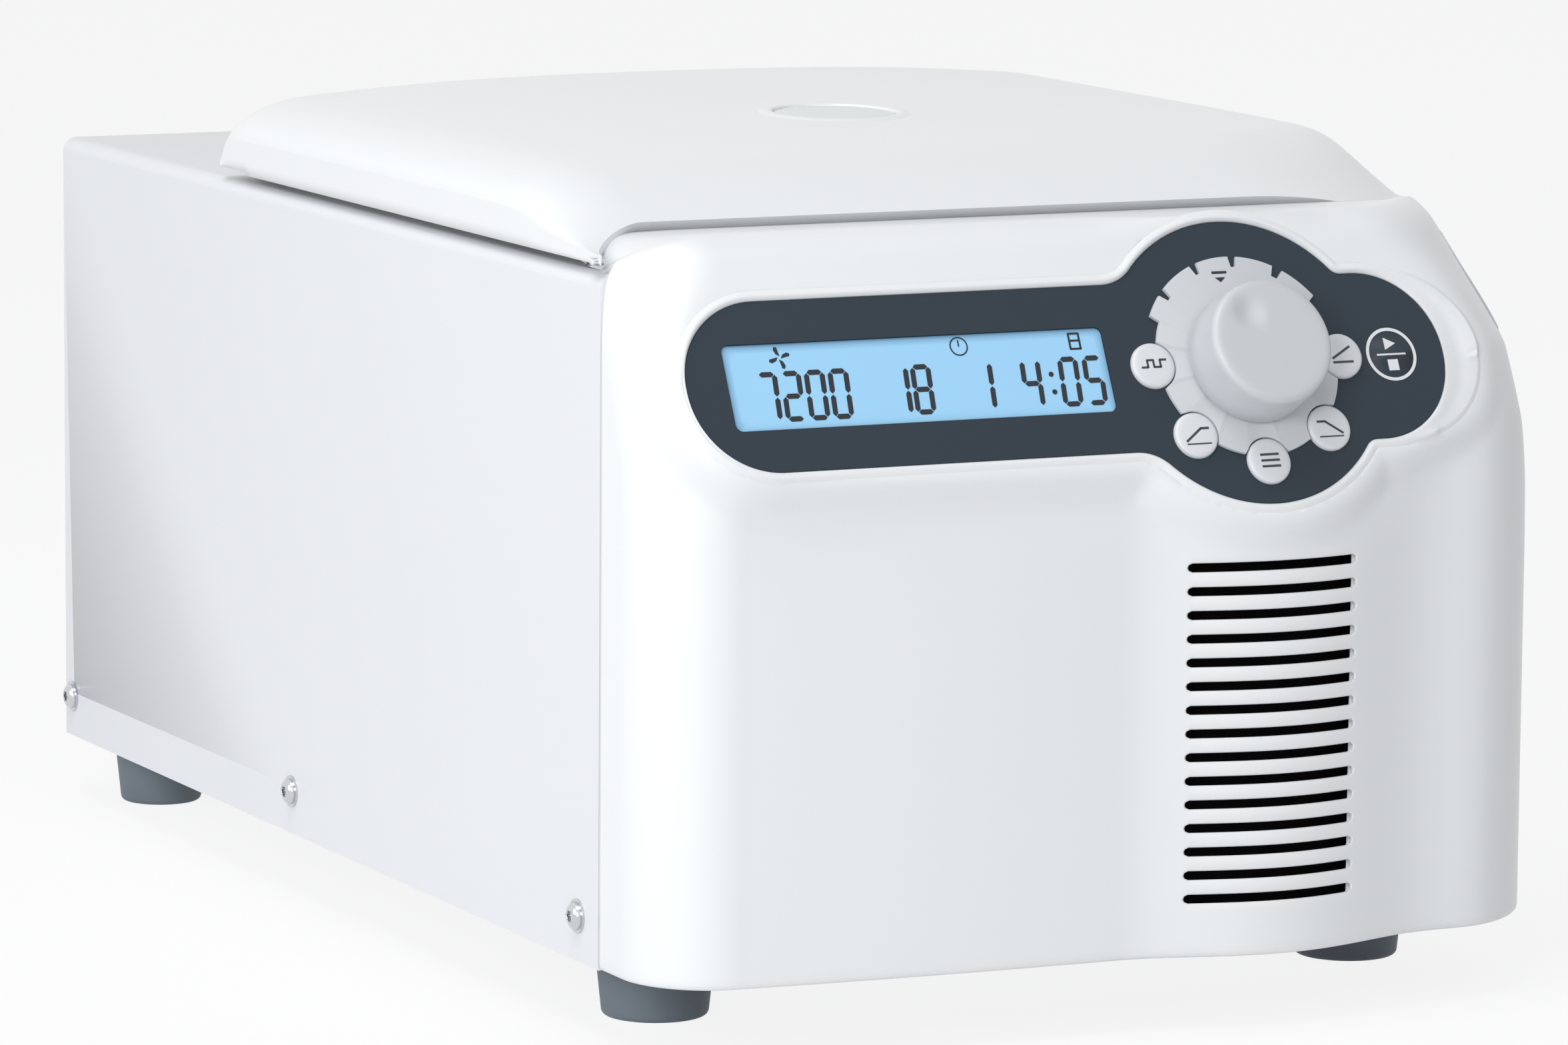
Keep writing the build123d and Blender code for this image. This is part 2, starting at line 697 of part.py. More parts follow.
with BuildPart() as motor_bearings:
    for low in [bearing_low, bearing_high]:
        ring = drum(bearing_outer, low, low + bearing_width, (0, rotor_y))
        add(ring - drum(shaft_radius + shaft_fit, low - 1.0, low + bearing_width + 1.0, (0, rotor_y)))
finish(motor_bearings.part, "motor_bearings")

# Shaft and rotor: a turned shaft with a seat, an angle rotor with a ring of tilted bores, its lid and nut.
rotor_top_z = rotor_base_z + rotor_height
stud_z = rotor_top_z + 12.0
shoulder_low = neck_high + 1.0
finish(turned([(0, motor_low + 6.0), (shaft_radius, motor_low + 6.0), (shaft_radius, shoulder_low),
               (shaft_radius + 6.0, shoulder_low), (shaft_radius + 6.0, rotor_base_z),
               (shaft_radius - 1.0, rotor_base_z), (shaft_radius - 1.0, stud_z), (0, stud_z)]), "drive_shaft")
with BuildPart() as rotor:
    add(turned([
        (shaft_radius - 1.0, rotor_base_z), (rotor_radius - 34.0, rotor_base_z),
        (rotor_radius, rotor_base_z + 26.0), (rotor_radius, rotor_base_z + 38.0),
        (rotor_radius - 4.0, rotor_top_z), (rotor_radius - 12.0, rotor_top_z),
        (rotor_radius - 42.0, rotor_top_z - 20.0), (20.0, rotor_top_z - 20.0), (20.0, rotor_top_z - 8.0),
        (shaft_radius - 1.0, rotor_top_z - 8.0)]))
    lean_in = sin(radians(tube_tilt))
    for place in range(tube_count):
        turn = radians(360.0 / tube_count * place)
        mouth = (tube_circle * cos(turn), rotor_y + tube_circle * sin(turn), rotor_top_z - 10.0)
        bore_face = Plane(origin=mouth, z_dir=(-cos(turn) * lean_in, -sin(turn) * lean_in,
                                               cos(radians(tube_tilt))))
        with BuildSketch(bore_face.offset(14.0)):
            Circle(tube_radius)
        extrude(amount=-(14.0 + tube_depth), mode=Mode.SUBTRACT)
finish(rotor.part, "rotor")
nut_low = rotor_top_z + 3.0
nut_high = nut_low + 15.0
finish(turned([(shaft_radius, rotor_top_z + 0.3), (rotor_radius - 5.0, rotor_top_z + 0.3),
               (rotor_radius - 8.0, nut_low), (shaft_radius, nut_low)]), "rotor_lid")
finish(turned([(shaft_radius - 1.0, nut_low), (14.0, nut_low), (14.0, nut_high - 3.0), (10.0, nut_high),
               (0, nut_high), (0, stud_z), (shaft_radius - 1.0, stud_z)]), "rotor_nut")


def lid_form(inset, low_z):
    """The lid's solid form: a sloping front, a crowned top and a rounder right front corner."""
    slope = tan(radians(lid_slope))
    drop = inset / cos(radians(lid_slope))
    rear = lid_rear_y - inset
    bend_z = skirt_z + (lid_slope_end_y - seam_y) * slope - drop
    rear_z = lid_crown_z - inset
    start_y = seam_y + (low_z - skirt_z + drop) / slope
    wide = half_width - inset
    with BuildPart() as form:
        add(prism_x([(start_y, low_z), (lid_slope_end_y, bend_z), (rear, rear_z), (rear, low_z)],
                    [0, 40.0, lid_side_radius - inset, 0]))
        with BuildSketch(Plane.XZ.offset(-(lid_rear_y + 1.0))) as crown:
            with BuildLine():
                ThreePointArc((-wide, lid_edge_z - inset), (0, lid_crown_z - inset),
                              (wide, lid_edge_z - inset))
                Polyline((wide, lid_edge_z - inset), (wide, low_z - 1.0), (-wide, low_z - 1.0),
                         (-wide, lid_edge_z - inset))
            make_face()
            fillet(crown.vertices().group_by(Axis.Y)[-1], lid_side_radius - inset)
        extrude(amount=400.0, mode=Mode.INTERSECT)
        levels = [(z, lid_corner_radius, lid_corner_radius) for z in (low_z - 1.0, lid_crown_z + 12.0)]
        add(right_corner(inset, lambda z: seam_y + (z - skirt_z + drop) / slope - 1.0 - inset, levels,
                         rear_y + 50.0), mode=Mode.INTERSECT)
    return form.part


# Lid: a moulded shell whose front edge follows the fascia's hood with an even gap.
with BuildPart() as lid_shell:
    add(lid_form(0.0, skirt_z))
    add(lid_form(lid_wall, skirt_z - 3.0), mode=Mode.SUBTRACT)
    add(arch_prism(half_width, hood_z + lid_gap, hood_corner_drop, half_width - hood_corner_width,
                   skirt_z - 9.0, seam_y - 100.0, seam_y + hood_depth + lid_gap), mode=Mode.SUBTRACT)
    add(plate(2 * half_width + 9.0, 40.0, skirt_z - 1.0, skirt_z + rear_relief, (0, hinge_y + 19.0)),
        mode=Mode.SUBTRACT)
    add(drum(port_radius - 3.0, skirt_z, lid_crown_z + 9.0, (0, rotor_y)), mode=Mode.SUBTRACT)
    add(drum(port_radius, port_seat_z, lid_crown_z + 9.0, (0, rotor_y)), mode=Mode.SUBTRACT)
finish(lid_shell.part, "lid_shell")

# Top deck: the moulded plate under the lid, round the chamber, with the latch slots and hinge bays.
inside_lid = lid_form(lid_wall + fit_gap, cover_top_z - 1.0)
with BuildPart() as top_deck:
    add(plate(2 * deck_half, deck_back - deck_front, cover_top_z, rim_z,
              (0, (deck_front + deck_back) / 2), 12.0))
    add(inside_lid, mode=Mode.INTERSECT)
    add(drum(rim_reach + 0.3, cover_top_z - 1.0, rim_z + 1.0, (0, rotor_y)), mode=Mode.SUBTRACT)
    for side in [-1, 1]:
        add(plate(latch_slot, 14.0, cover_top_z - 1.0, rim_z + 1.0, (side * latch_x, latch_y)),
            mode=Mode.SUBTRACT)
        add(plate(hinge_bay, 60.0, cover_top_z - 1.0, rim_z + 1.0, (side * hinge_x, hinge_y - 10.0)),
            mode=Mode.SUBTRACT)
finish(top_deck.part, "top_deck")

# Sight port: a clear stepped disc let into the lid's top.
port_high = port_seat_z + 2.2
with BuildPart() as sight_port:
    add(turned([(0, port_seat_z - lid_wall - 2.0), (port_radius - 3.2, port_seat_z - lid_wall - 2.0),
                (port_radius - 3.2, port_seat_z), (port_radius - 0.2, port_seat_z),
                (port_radius - 0.2, port_high - 1.0), (port_radius - 1.2, port_high), (0, port_high)]))
finish(sight_port.part, "sight_port")

# Lid liner: the inner plate that meets the gasket, with ribs up to the shell and the sight port's tube.
liner_low = gasket_high + fit_gap
liner_high = liner_low + 2.5
liner_back = seam_y + 300.0
with BuildPart() as lid_liner:
    add(plate(2 * deck_half, liner_back - liner_front, liner_low, liner_high,
              (0, (liner_front + liner_back) / 2), 10.0))
    add(inside_lid, mode=Mode.INTERSECT)
    add(drum(bowl_radius - 3.0, rim_z - 0.5, liner_low, (0, rotor_y)))
    add(drum(port_radius + 1.0, liner_low, port_seat_z - lid_wall - 2.2, (0, rotor_y)))
    add(drum(port_radius - 3.0, rim_z - 1.0, lid_crown_z, (0, rotor_y)), mode=Mode.SUBTRACT)
finish(lid_liner.part, "lid_liner")

# Latch hooks hang from the liner; a sprung slider in a housing under the cover locks them.
with BuildPart() as latch_hooks:
    for side in [-1, 1]:
        add(plate(hook_width, 4.0, hook_low_z, liner_low, (side * latch_x, latch_y)))
        window = plate(hook_width - 4.0, 9.0, hook_low_z + 3.0, hook_low_z + 9.0, (side * latch_x, latch_y))
        add(window, mode=Mode.SUBTRACT)
finish(latch_hooks.part, "latch_hooks")
housing_high = cover_top_z - sheet
slider_low = hook_low_z + 3.3
with BuildPart() as latch_housing:
    add(plate(2 * housing_half, housing_depth, housing_low, housing_high, (0, housing_y)))
    add(plate(2 * housing_half - 6.0, housing_depth - 8.0, housing_low + 2.0, housing_high + 1.0,
              (0, housing_y)), mode=Mode.SUBTRACT)
    for side in [-1, 1]:
        add(plate(8.0, 12.0, housing_low + 2.0, slider_low - fit_gap, (side * 20.0, housing_y + 5.0)))
finish(latch_housing.part, "latch_housing")
with BuildPart() as latch_slider:
    add(plate(2 * latch_x + 24.0, 4.0, slider_low, slider_low + 5.4, (0, latch_y + 13.0)))
    for side in [-1, 1]:
        add(plate(6.0, 9.0, hook_low_z + 4.0, hook_low_z + 8.0, (side * latch_x, latch_y + 7.5)))
finish(latch_slider.part, "latch_slider")

# Lid hinge: goosenecks on the cover, a pin through each, and a pair of lid knuckles beside each gooseneck.
with BuildPart() as hinge_brackets:
    for side in [-1, 1]:
        left = side * hinge_x - bracket_width / 2
        with BuildSketch(Plane.YZ.offset(left)):
            with Locations((hinge_y, hinge_z)):
                Circle(knuckle_radius)
            with Locations((hinge_y - 6.0, hinge_z)):
                Rectangle(12.0, 2 * knuckle_radius)
            with Locations((hinge_y - 11.0, (hinge_z + cover_top_z) / 2)):
                Rectangle(4.0, hinge_z - cover_top_z)
            with Locations((hinge_y - 19.0, cover_top_z + 1.0)):
                Rectangle(20.0, 2.0)
            with Locations((hinge_y, hinge_z)):
                Circle(pin_radius + 0.02, mode=Mode.SUBTRACT)
        extrude(amount=bracket_width)
finish(hinge_brackets.part, "hinge_brackets")
pin_half = bracket_width / 2 + side_gap + knuckle_width
with BuildPart() as hinge_pins:
    for side in [-1, 1]:
        add(bar_x(pin_radius, side * hinge_x - pin_half, side * hinge_x + pin_half, hinge_y, hinge_z))
finish(hinge_pins.part, "hinge_pins")
with BuildPart() as lid_knuckles:
    for side in [-1, 1]:
        for end in [-1, 1]:
            middle = side * hinge_x + end * (bracket_width / 2 + side_gap + knuckle_width / 2)
            with BuildSketch(Plane.YZ.offset(middle - knuckle_width / 2)):
                with Locations((hinge_y, hinge_z)):
                    Circle(knuckle_radius)
                with Locations((hinge_y - 1.5, hinge_z + knuckle_reach / 2)):
                    Rectangle(knuckle_radius * 2 - 3.0, knuckle_reach)
                with Locations((hinge_y, hinge_z)):
                    Circle(pin_radius + pin_clearance, mode=Mode.SUBTRACT)
            extrude(amount=knuckle_width)
finish(lid_knuckles.part, "lid_knuckles")

# Rear panel with the fan's opening, the inlet's and switch's cut-outs, and its screws.
panel_in = rear_y - sheet
rear_half = half_width - sheet - 0.05
rear_low = base_z + 2.05
rear_top = cover_top_z - sheet - 0.05
with BuildPart() as rear_panel:
    with BuildSketch(Plane.XZ.offset(-rear_y)) as outline:
        with Locations((0, (rear_low + rear_top) / 2)):
            Rectangle(2 * rear_half, rear_top - rear_low)
        fillet(outline.vertices().group_by(Axis.Y)[-1], cover_bend)
        with Locations((fan_x, fan_z)):
            Circle(fan_bore, mode=Mode.SUBTRACT)
            with GridLocations(fan_pitch, fan_pitch, 2, 2):
                Circle(2.2, mode=Mode.SUBTRACT)
        with Locations((inlet_x, inlet_z)):
            Rectangle(inlet_width + 0.4, inlet_height + 0.4, mode=Mode.SUBTRACT)
        with Locations((inlet_x, switch_z)):
            Rectangle(switch_width + 0.4, switch_height + 0.4, mode=Mode.SUBTRACT)
    extrude(amount=sheet)
finish(rear_panel.part, "rear_panel")
with BuildPart() as rear_screws:
    for x in [-rear_half + 8.0, rear_half - 8.0]:
        for z in [base_z + 12.0, rear_top - 8.0]:
            add(bar_y(3.2, rear_y, rear_y + 2.0, x, z))
    for x in [-1, 1]:
        for z in [-1, 1]:
            place = (fan_x + x * fan_pitch / 2, fan_z + z * fan_pitch / 2)
            add(bar_y(2.0, rear_y - 12.0, rear_y + 1.0, place[0], place[1]))
            add(bar_y(4.0, rear_y + guard_thick, rear_y + rear_fitting, place[0], place[1]))
finish(rear_screws.part, "rear_screws")

# Fan guard: wire rings and spokes with four screw eyes.
with BuildPart() as rear_grille:
    with BuildSketch(Plane.XZ.offset(-(rear_y + guard_thick))):
        for ring in range(guard_rings):
            radius = 12.0 + ring * 9.0
            with Locations((fan_x, fan_z)):
                Circle(radius + 0.9)
                Circle(radius - 0.9, mode=Mode.SUBTRACT)
        for turn in [45, 135]:
            with Locations((fan_x, fan_z)):
                Rectangle(fan_pitch * sqrt(2) + 8.0, 2.4, rotation=turn)
        with Locations((fan_x, fan_z)):
            Circle(10.0)
            with GridLocations(fan_pitch, fan_pitch, 2, 2):
                Circle(4.6)
                Circle(2.2, mode=Mode.SUBTRACT)
    extrude(amount=guard_thick)
finish(rear_grille.part, "rear_grille")

# Condenser fan: a square frame with its hub and stays, and a bladed rotor that turns in it.
frame_back = panel_in
frame_front = frame_back - fan_depth
hub_radius = 19.0
with BuildPart() as fan_frame:
    with BuildSketch(Plane.XZ.offset(-frame_back)):
        with Locations((fan_x, fan_z)):
            RectangleRounded(fan_size, fan_size, 6.0)
            Circle(fan_bore, mode=Mode.SUBTRACT)
            with GridLocations(fan_pitch, fan_pitch, 2, 2):
                Circle(2.2, mode=Mode.SUBTRACT)
    extrude(amount=fan_depth)
    with BuildSketch(Plane.XZ.offset(-(frame_front + 3.0))):
        with Locations((fan_x, fan_z)):
            Circle(hub_radius)
            Rectangle(2 * fan_bore + 2.0, 4.0)
            Rectangle(4.0, 2 * fan_bore + 2.0)
    extrude(amount=3.0)
    add(bar_y(3.0, frame_front + 2.0, frame_back - 5.0, fan_x, fan_z))
finish(fan_frame.part, "fan_frame")
blade_tip = fan_bore - 2.0
with BuildPart() as condenser_fan:
    add(bar_y(hub_radius, frame_front + 4.0, frame_back - 2.0, fan_x, fan_z))
    for blade in range(blade_count):
        turn = 360.0 / blade_count * blade
        root = Plane(origin=(fan_x, frame_front + 14.0, fan_z), x_dir=(0, 1, 0),
                     z_dir=(cos(radians(turn)), 0, sin(radians(turn))))
        with BuildSketch(root.offset(hub_radius - 2.0)):
            Rectangle(14.0, 2.0, rotation=42)
        with BuildSketch(root.offset(blade_tip)):
            Rectangle(17.0, 1.4, rotation=24)
        loft(ruled=True)
    add(bar_y(3.0 + 0.06, frame_front, frame_back - 4.9, fan_x, fan_z), mode=Mode.SUBTRACT)
finish(condenser_fan.part, "condenser_fan")

# Condenser: a finned block with end plates in front of the fan.
core_back = frame_front - 2.0
core_front = core_back - core_depth
core_low = base_z + 50.0
fin_step = core_width / fin_count
with BuildPart() as condenser_core:
    for fin in range(fin_count + 1):
        x = fan_x - core_width / 2 + fin * fin_step
        add(plate(1.2, core_depth, core_low, core_low + core_width, (x, (core_front + core_back) / 2)))
    for row in range(core_rows):
        z = core_low + (row + 0.5) * core_width / core_rows
        add(bar_x(4.0, fan_x - core_width / 2 - 4.0, fan_x + core_width / 2 + 4.0,
                  (core_front + core_back) / 2, z))
finish(condenser_core.part, "condenser_core")
fan_stand_back = tray_back - 2.1
with BuildPart() as condenser_stand:
    for side in [-1, 1]:
        leg = (fan_x + side * (core_width / 2 - 8.0), (core_front + core_back) / 2)
        add(plate(8.0, core_depth - 2.0, base_z + 2.0, core_low, leg))
    add(plate(core_width, fan_stand_back - frame_front, base_z + 2.0, fan_z - fan_size / 2,
              (fan_x, (frame_front + fan_stand_back) / 2)))
finish(condenser_stand.part, "condenser_stand")

# Compressor: a welded can on three rubber feet, with its terminal box and the drier beside it.
can_radius = 50.0
can_x = 98.0
can_y = rear_y - 92.0
can_low = base_z + 14.0
can_high = can_low + 128.0
with BuildPart() as compressor:
    add(drum(can_radius, can_low, can_high, (can_x, can_y)))
    fillet(compressor.edges().filter_by(GeomType.CIRCLE), 18.0)
    add(plate(90.0, 14.0, can_low, can_low + 3.0, (can_x, can_y - 40.0)))
    add(plate(90.0, 14.0, can_low, can_low + 3.0, (can_x, can_y + 40.0)))
finish(compressor.part, "compressor")
with BuildPart() as compressor_feet:
    for x in [-1, 1]:
        for y in [-1, 1]:
            add(drum(7.0, base_z + 2.0, can_low, (can_x + x * 38.0, can_y + y * 40.0)))
finish(compressor_feet.part, "compressor_feet")
pipe_radius = 3.0
drier_x = 30.0
drier_y = rear_y - 92.0
drier_low = base_z + 30.0
with BuildPart() as filter_drier:
    add(drum(11.0, drier_low, drier_low + 84.0, (drier_x, drier_y)))
    fillet(filter_drier.edges().filter_by(GeomType.CIRCLE), 7.0)
    add(drum(pipe_radius, base_z + 2.0, drier_low + 1.0, (drier_x, drier_y)))
finish(filter_drier.part, "filter_drier")

# Mains inlet with its fuse drawer, and the rocker switch in its bezel.
with BuildPart() as power_inlet:
    with BuildSketch(Plane.XZ.offset(-(rear_y + 2.0))):
        with Locations((inlet_x, inlet_z)):
            RectangleRounded(inlet_width + 6.0, inlet_height + 6.0, 3.0)
    extrude(amount=2.0)
    with BuildSketch(Plane.XZ.offset(-rear_y)):
        with Locations((inlet_x, inlet_z)):
            Rectangle(inlet_width, inlet_height)
    extrude(amount=22.0)
    with BuildSketch(Plane.XZ.offset(-(rear_y + 2.0))):
        with Locations((inlet_x, inlet_z + 5.0)):
            RectangleRounded(24.4, 16.4, 3.0)
    extrude(amount=18.0, mode=Mode.SUBTRACT)
    with BuildSketch(Plane.XZ.offset(-(rear_y + 2.0))):
        with Locations((inlet_x, inlet_z - 10.5)):
            Rectangle(drawer_width + 0.4, drawer_height + 0.4)
    extrude(amount=18.0, mode=Mode.SUBTRACT)
    for x, z in [(-7.0, 3.0), (0.0, 7.0), (7.0, 3.0)]:
        add(plate(2.0, 14.0, inlet_z + z - 2.5, inlet_z + z + 2.5, (inlet_x + x, rear_y - 9.5)))
finish(power_inlet.part, "power_inlet")
with BuildPart() as fuse_drawer:
    add(plate(drawer_width, 16.0, inlet_z - 10.5 - drawer_height / 2, inlet_z - 10.5 + drawer_height / 2,
              (inlet_x, rear_y - 5.5)))
finish(fuse_drawer.part, "fuse_drawer")
rocker_gap = 0.4
with BuildPart() as switch_bezel:
    with BuildSketch(Plane.XZ.offset(-(rear_y + 2.0))):
        with Locations((inlet_x, switch_z)):
            RectangleRounded(switch_width + 5.0, switch_height + 5.0, 2.0)
    extrude(amount=2.0)
    with BuildSketch(Plane.XZ.offset(-rear_y)):
        with Locations((inlet_x, switch_z)):
            Rectangle(switch_width, switch_height)
    extrude(amount=20.0)
    with BuildSketch(Plane.XZ.offset(-(rear_y + 2.0))):
        with Locations((inlet_x, switch_z)):
            Rectangle(switch_width - 4.0, switch_height - 4.0)
    extrude(amount=17.0, mode=Mode.SUBTRACT)
finish(switch_bezel.part, "switch_bezel")
rocker_half = (switch_width - 4.0) / 2 - rocker_gap
rocker_axis_y = rear_y - 5.0
with BuildPart() as power_rocker:
    with BuildSketch(Plane.YZ.offset(inlet_x - rocker_half)):
        with BuildLine():
            Polyline((rocker_axis_y - 4.0, switch_z - 5.0), (rocker_axis_y + 7.0, switch_z - 10.5),
                     (rocker_axis_y + 5.5, switch_z), (rocker_axis_y + 7.0, switch_z + 10.5),
                     (rocker_axis_y - 4.0, switch_z + 5.0), close=True)
        make_face()
    extrude(amount=2 * rocker_half)
finish(power_rocker.part, "power_rocker")

# Power board on the left of the tray, on four posts, with its large capacitors.
board_x = -96.0
board_y = seam_y + 330.0
with BuildPart() as power_board:
    add(plate(110.0, 70.0, base_z + 10.0, base_z + 11.6, (board_x, board_y)))
    with BuildSketch(Plane.XY.offset(base_z + 2.0)):
        with Locations((board_x, board_y)):
            with GridLocations(96.0, 56.0, 2, 2):
                Circle(3.0)
    extrude(amount=8.0)
    with BuildSketch(Plane.XY.offset(base_z + 11.6)):
        with Locations((board_x - 20.0, board_y)):
            with GridLocations(26.0, 26.0, 2, 2):
                Circle(11.0)
    extrude(amount=26.0)
finish(power_board.part, "power_board")
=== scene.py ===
import bmesh
import bpy
import numpy as np
from math import radians
from mathutils import Matrix, Vector


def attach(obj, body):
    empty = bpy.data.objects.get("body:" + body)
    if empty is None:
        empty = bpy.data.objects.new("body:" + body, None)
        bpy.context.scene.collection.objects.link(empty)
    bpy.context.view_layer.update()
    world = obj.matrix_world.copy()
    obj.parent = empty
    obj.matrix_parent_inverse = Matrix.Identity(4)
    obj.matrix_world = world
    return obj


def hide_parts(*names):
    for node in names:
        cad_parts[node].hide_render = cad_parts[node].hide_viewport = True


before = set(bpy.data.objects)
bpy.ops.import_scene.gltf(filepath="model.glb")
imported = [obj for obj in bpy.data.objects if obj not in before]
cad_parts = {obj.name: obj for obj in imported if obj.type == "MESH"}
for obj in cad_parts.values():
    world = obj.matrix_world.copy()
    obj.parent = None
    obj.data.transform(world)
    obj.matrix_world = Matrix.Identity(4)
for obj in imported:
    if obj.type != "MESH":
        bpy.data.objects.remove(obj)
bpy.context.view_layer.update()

# The view: a long lens some 2.8 m away, to the left of the machine's front and a little above its top. Place
# and turn come from fitting the machine's edges to the photograph.
camera_data = bpy.data.cameras.new("view_camera")
camera_data.lens = 182.03
camera_data.sensor_width = 36.0
camera_data.clip_end = 40.0
camera = bpy.data.objects.new("view_camera", camera_data)
camera_turn = Matrix(((0.90354, 0.05455, -0.42503), (-0.42845, 0.13231, -0.89383),
                      (0.00748, 0.98971, 0.14292)))
camera_place = (-1.1832, -2.4884, 0.5292)
camera.matrix_world = Matrix.Translation(camera_place) @ camera_turn.to_4x4()
scene = bpy.context.scene
scene.collection.objects.link(camera)
scene.camera = camera
scene.view_settings.view_transform = "Standard"

# The studio: a white room for the eye, an even grey-white light for the machine, and a pale matte bench top
# that glows a little, so that only the contact shadows stay on it.


def seen_directly(nodes, links):
    """One where a camera, mirror or glass ray arrives, and nothing elsewhere."""
    path = nodes.new("ShaderNodeLightPath")
    seen = path.outputs["Is Camera Ray"]
    for kind in ("Is Glossy Ray", "Is Transmission Ray"):
        either = nodes.new("ShaderNodeMath")
        either.operation = "MAXIMUM"
        links.new(seen, either.inputs[0])
        links.new(path.outputs[kind], either.inputs[1])
        seen = either.outputs[0]
    return seen


room_light = 0.40
world = bpy.data.worlds.new("studio")
scene.world = world
world.use_nodes = True
room_nodes, room_links = world.node_tree.nodes, world.node_tree.links
room_nodes.clear()
dim_room = room_nodes.new("ShaderNodeBackground")
dim_room.inputs["Color"].default_value = (0.97, 0.985, 1.0, 1)
dim_room.inputs["Strength"].default_value = room_light
white_room = room_nodes.new("ShaderNodeBackground")
white_room.inputs["Color"].default_value = (1, 1, 1, 1)
room_mix = room_nodes.new("ShaderNodeMixShader")
room_links.new(seen_directly(room_nodes, room_links), room_mix.inputs[0])
room_links.new(dim_room.outputs[0], room_mix.inputs[1])
room_links.new(white_room.outputs[0], room_mix.inputs[2])
room_links.new(room_mix.outputs[0], room_nodes.new("ShaderNodeOutputWorld").inputs["Surface"])

bench_half, bench_glow_share = 14.0, 0.86
bench_mesh = bpy.data.meshes.new("bench_top")
bench_corners = [(x * bench_half, y * bench_half, 0) for x, y in ((-1, -1), (1, -1), (1, 1), (-1, 1))]
bench_mesh.from_pydata(bench_corners, [], [(0, 1, 2, 3)])
bench = bpy.data.objects.new("bench_top", bench_mesh)
scene.collection.objects.link(bench)
bench_paint = bpy.data.materials.new("bench_white")
bench_paint.use_nodes = True
bench_nodes, bench_links = bench_paint.node_tree.nodes, bench_paint.node_tree.links
bench_nodes.clear()
bench_matte = bench_nodes.new("ShaderNodeBsdfDiffuse")
bench_matte.inputs["Color"].default_value = (0.9, 0.9, 0.91, 1)
bench_glow = bench_nodes.new("ShaderNodeEmission")
bench_share = bench_nodes.new("ShaderNodeMath")
bench_share.operation = "MULTIPLY"
bench_share.inputs[1].default_value = bench_glow_share
bench_links.new(seen_directly(bench_nodes, bench_links), bench_share.inputs[0])
bench_mix = bench_nodes.new("ShaderNodeMixShader")
bench_links.new(bench_share.outputs[0], bench_mix.inputs[0])
bench_links.new(bench_matte.outputs[0], bench_mix.inputs[1])
bench_links.new(bench_glow.outputs[0], bench_mix.inputs[2])
bench_links.new(bench_mix.outputs[0], bench_nodes.new("ShaderNodeOutputMaterial").inputs["Surface"])
bench_mesh.materials.append(bench_paint)


def soft_lamp(name, place, aim, size, power):
    """A square lamp at place, turned so that it faces aim, all in metres and watts."""
    data = bpy.data.lights.new(name, "AREA")
    data.size = size
    data.energy = power
    lamp = bpy.data.objects.new(name, data)
    back = Vector(place) - Vector(aim)
    lamp.matrix_world = Matrix.Translation(place) @ back.to_track_quat("Z", "Y").to_matrix().to_4x4()
    scene.collection.objects.link(lamp)


soft_lamp("front_left_lamp", (-1.9, -2.0, 1.0), (0, 0, 0.13), 0.9, 28.0)
soft_lamp("left_lamp", (-2.2, -0.2, 1.0), (0, 0, 0.13), 1.2, 8.0)
soft_lamp("top_lamp", (-0.8, -0.6, 2.3), (0, 0, 0.2), 1.0, 17.0)

# Painted cover and rear panel: folded steel sheet, powder coated light grey. The cover is one sheet bent over
# the top and screwed to the tray's sides. The tray and the brackets inside are zinc plated steel.
mix_a, mix_b, mix_out = 6, 7, 2     # the colour sockets of a Mix node


def colour(red, green, blue):
    """A display colour of three numbers up to 255, turned to linear light."""
    share = np.array([red, green, blue]) / 255.0
    return tuple(np.where(share < 0.04045, share / 12.92, ((share + 0.055) / 1.055) ** 2.4)) + (1.0,)


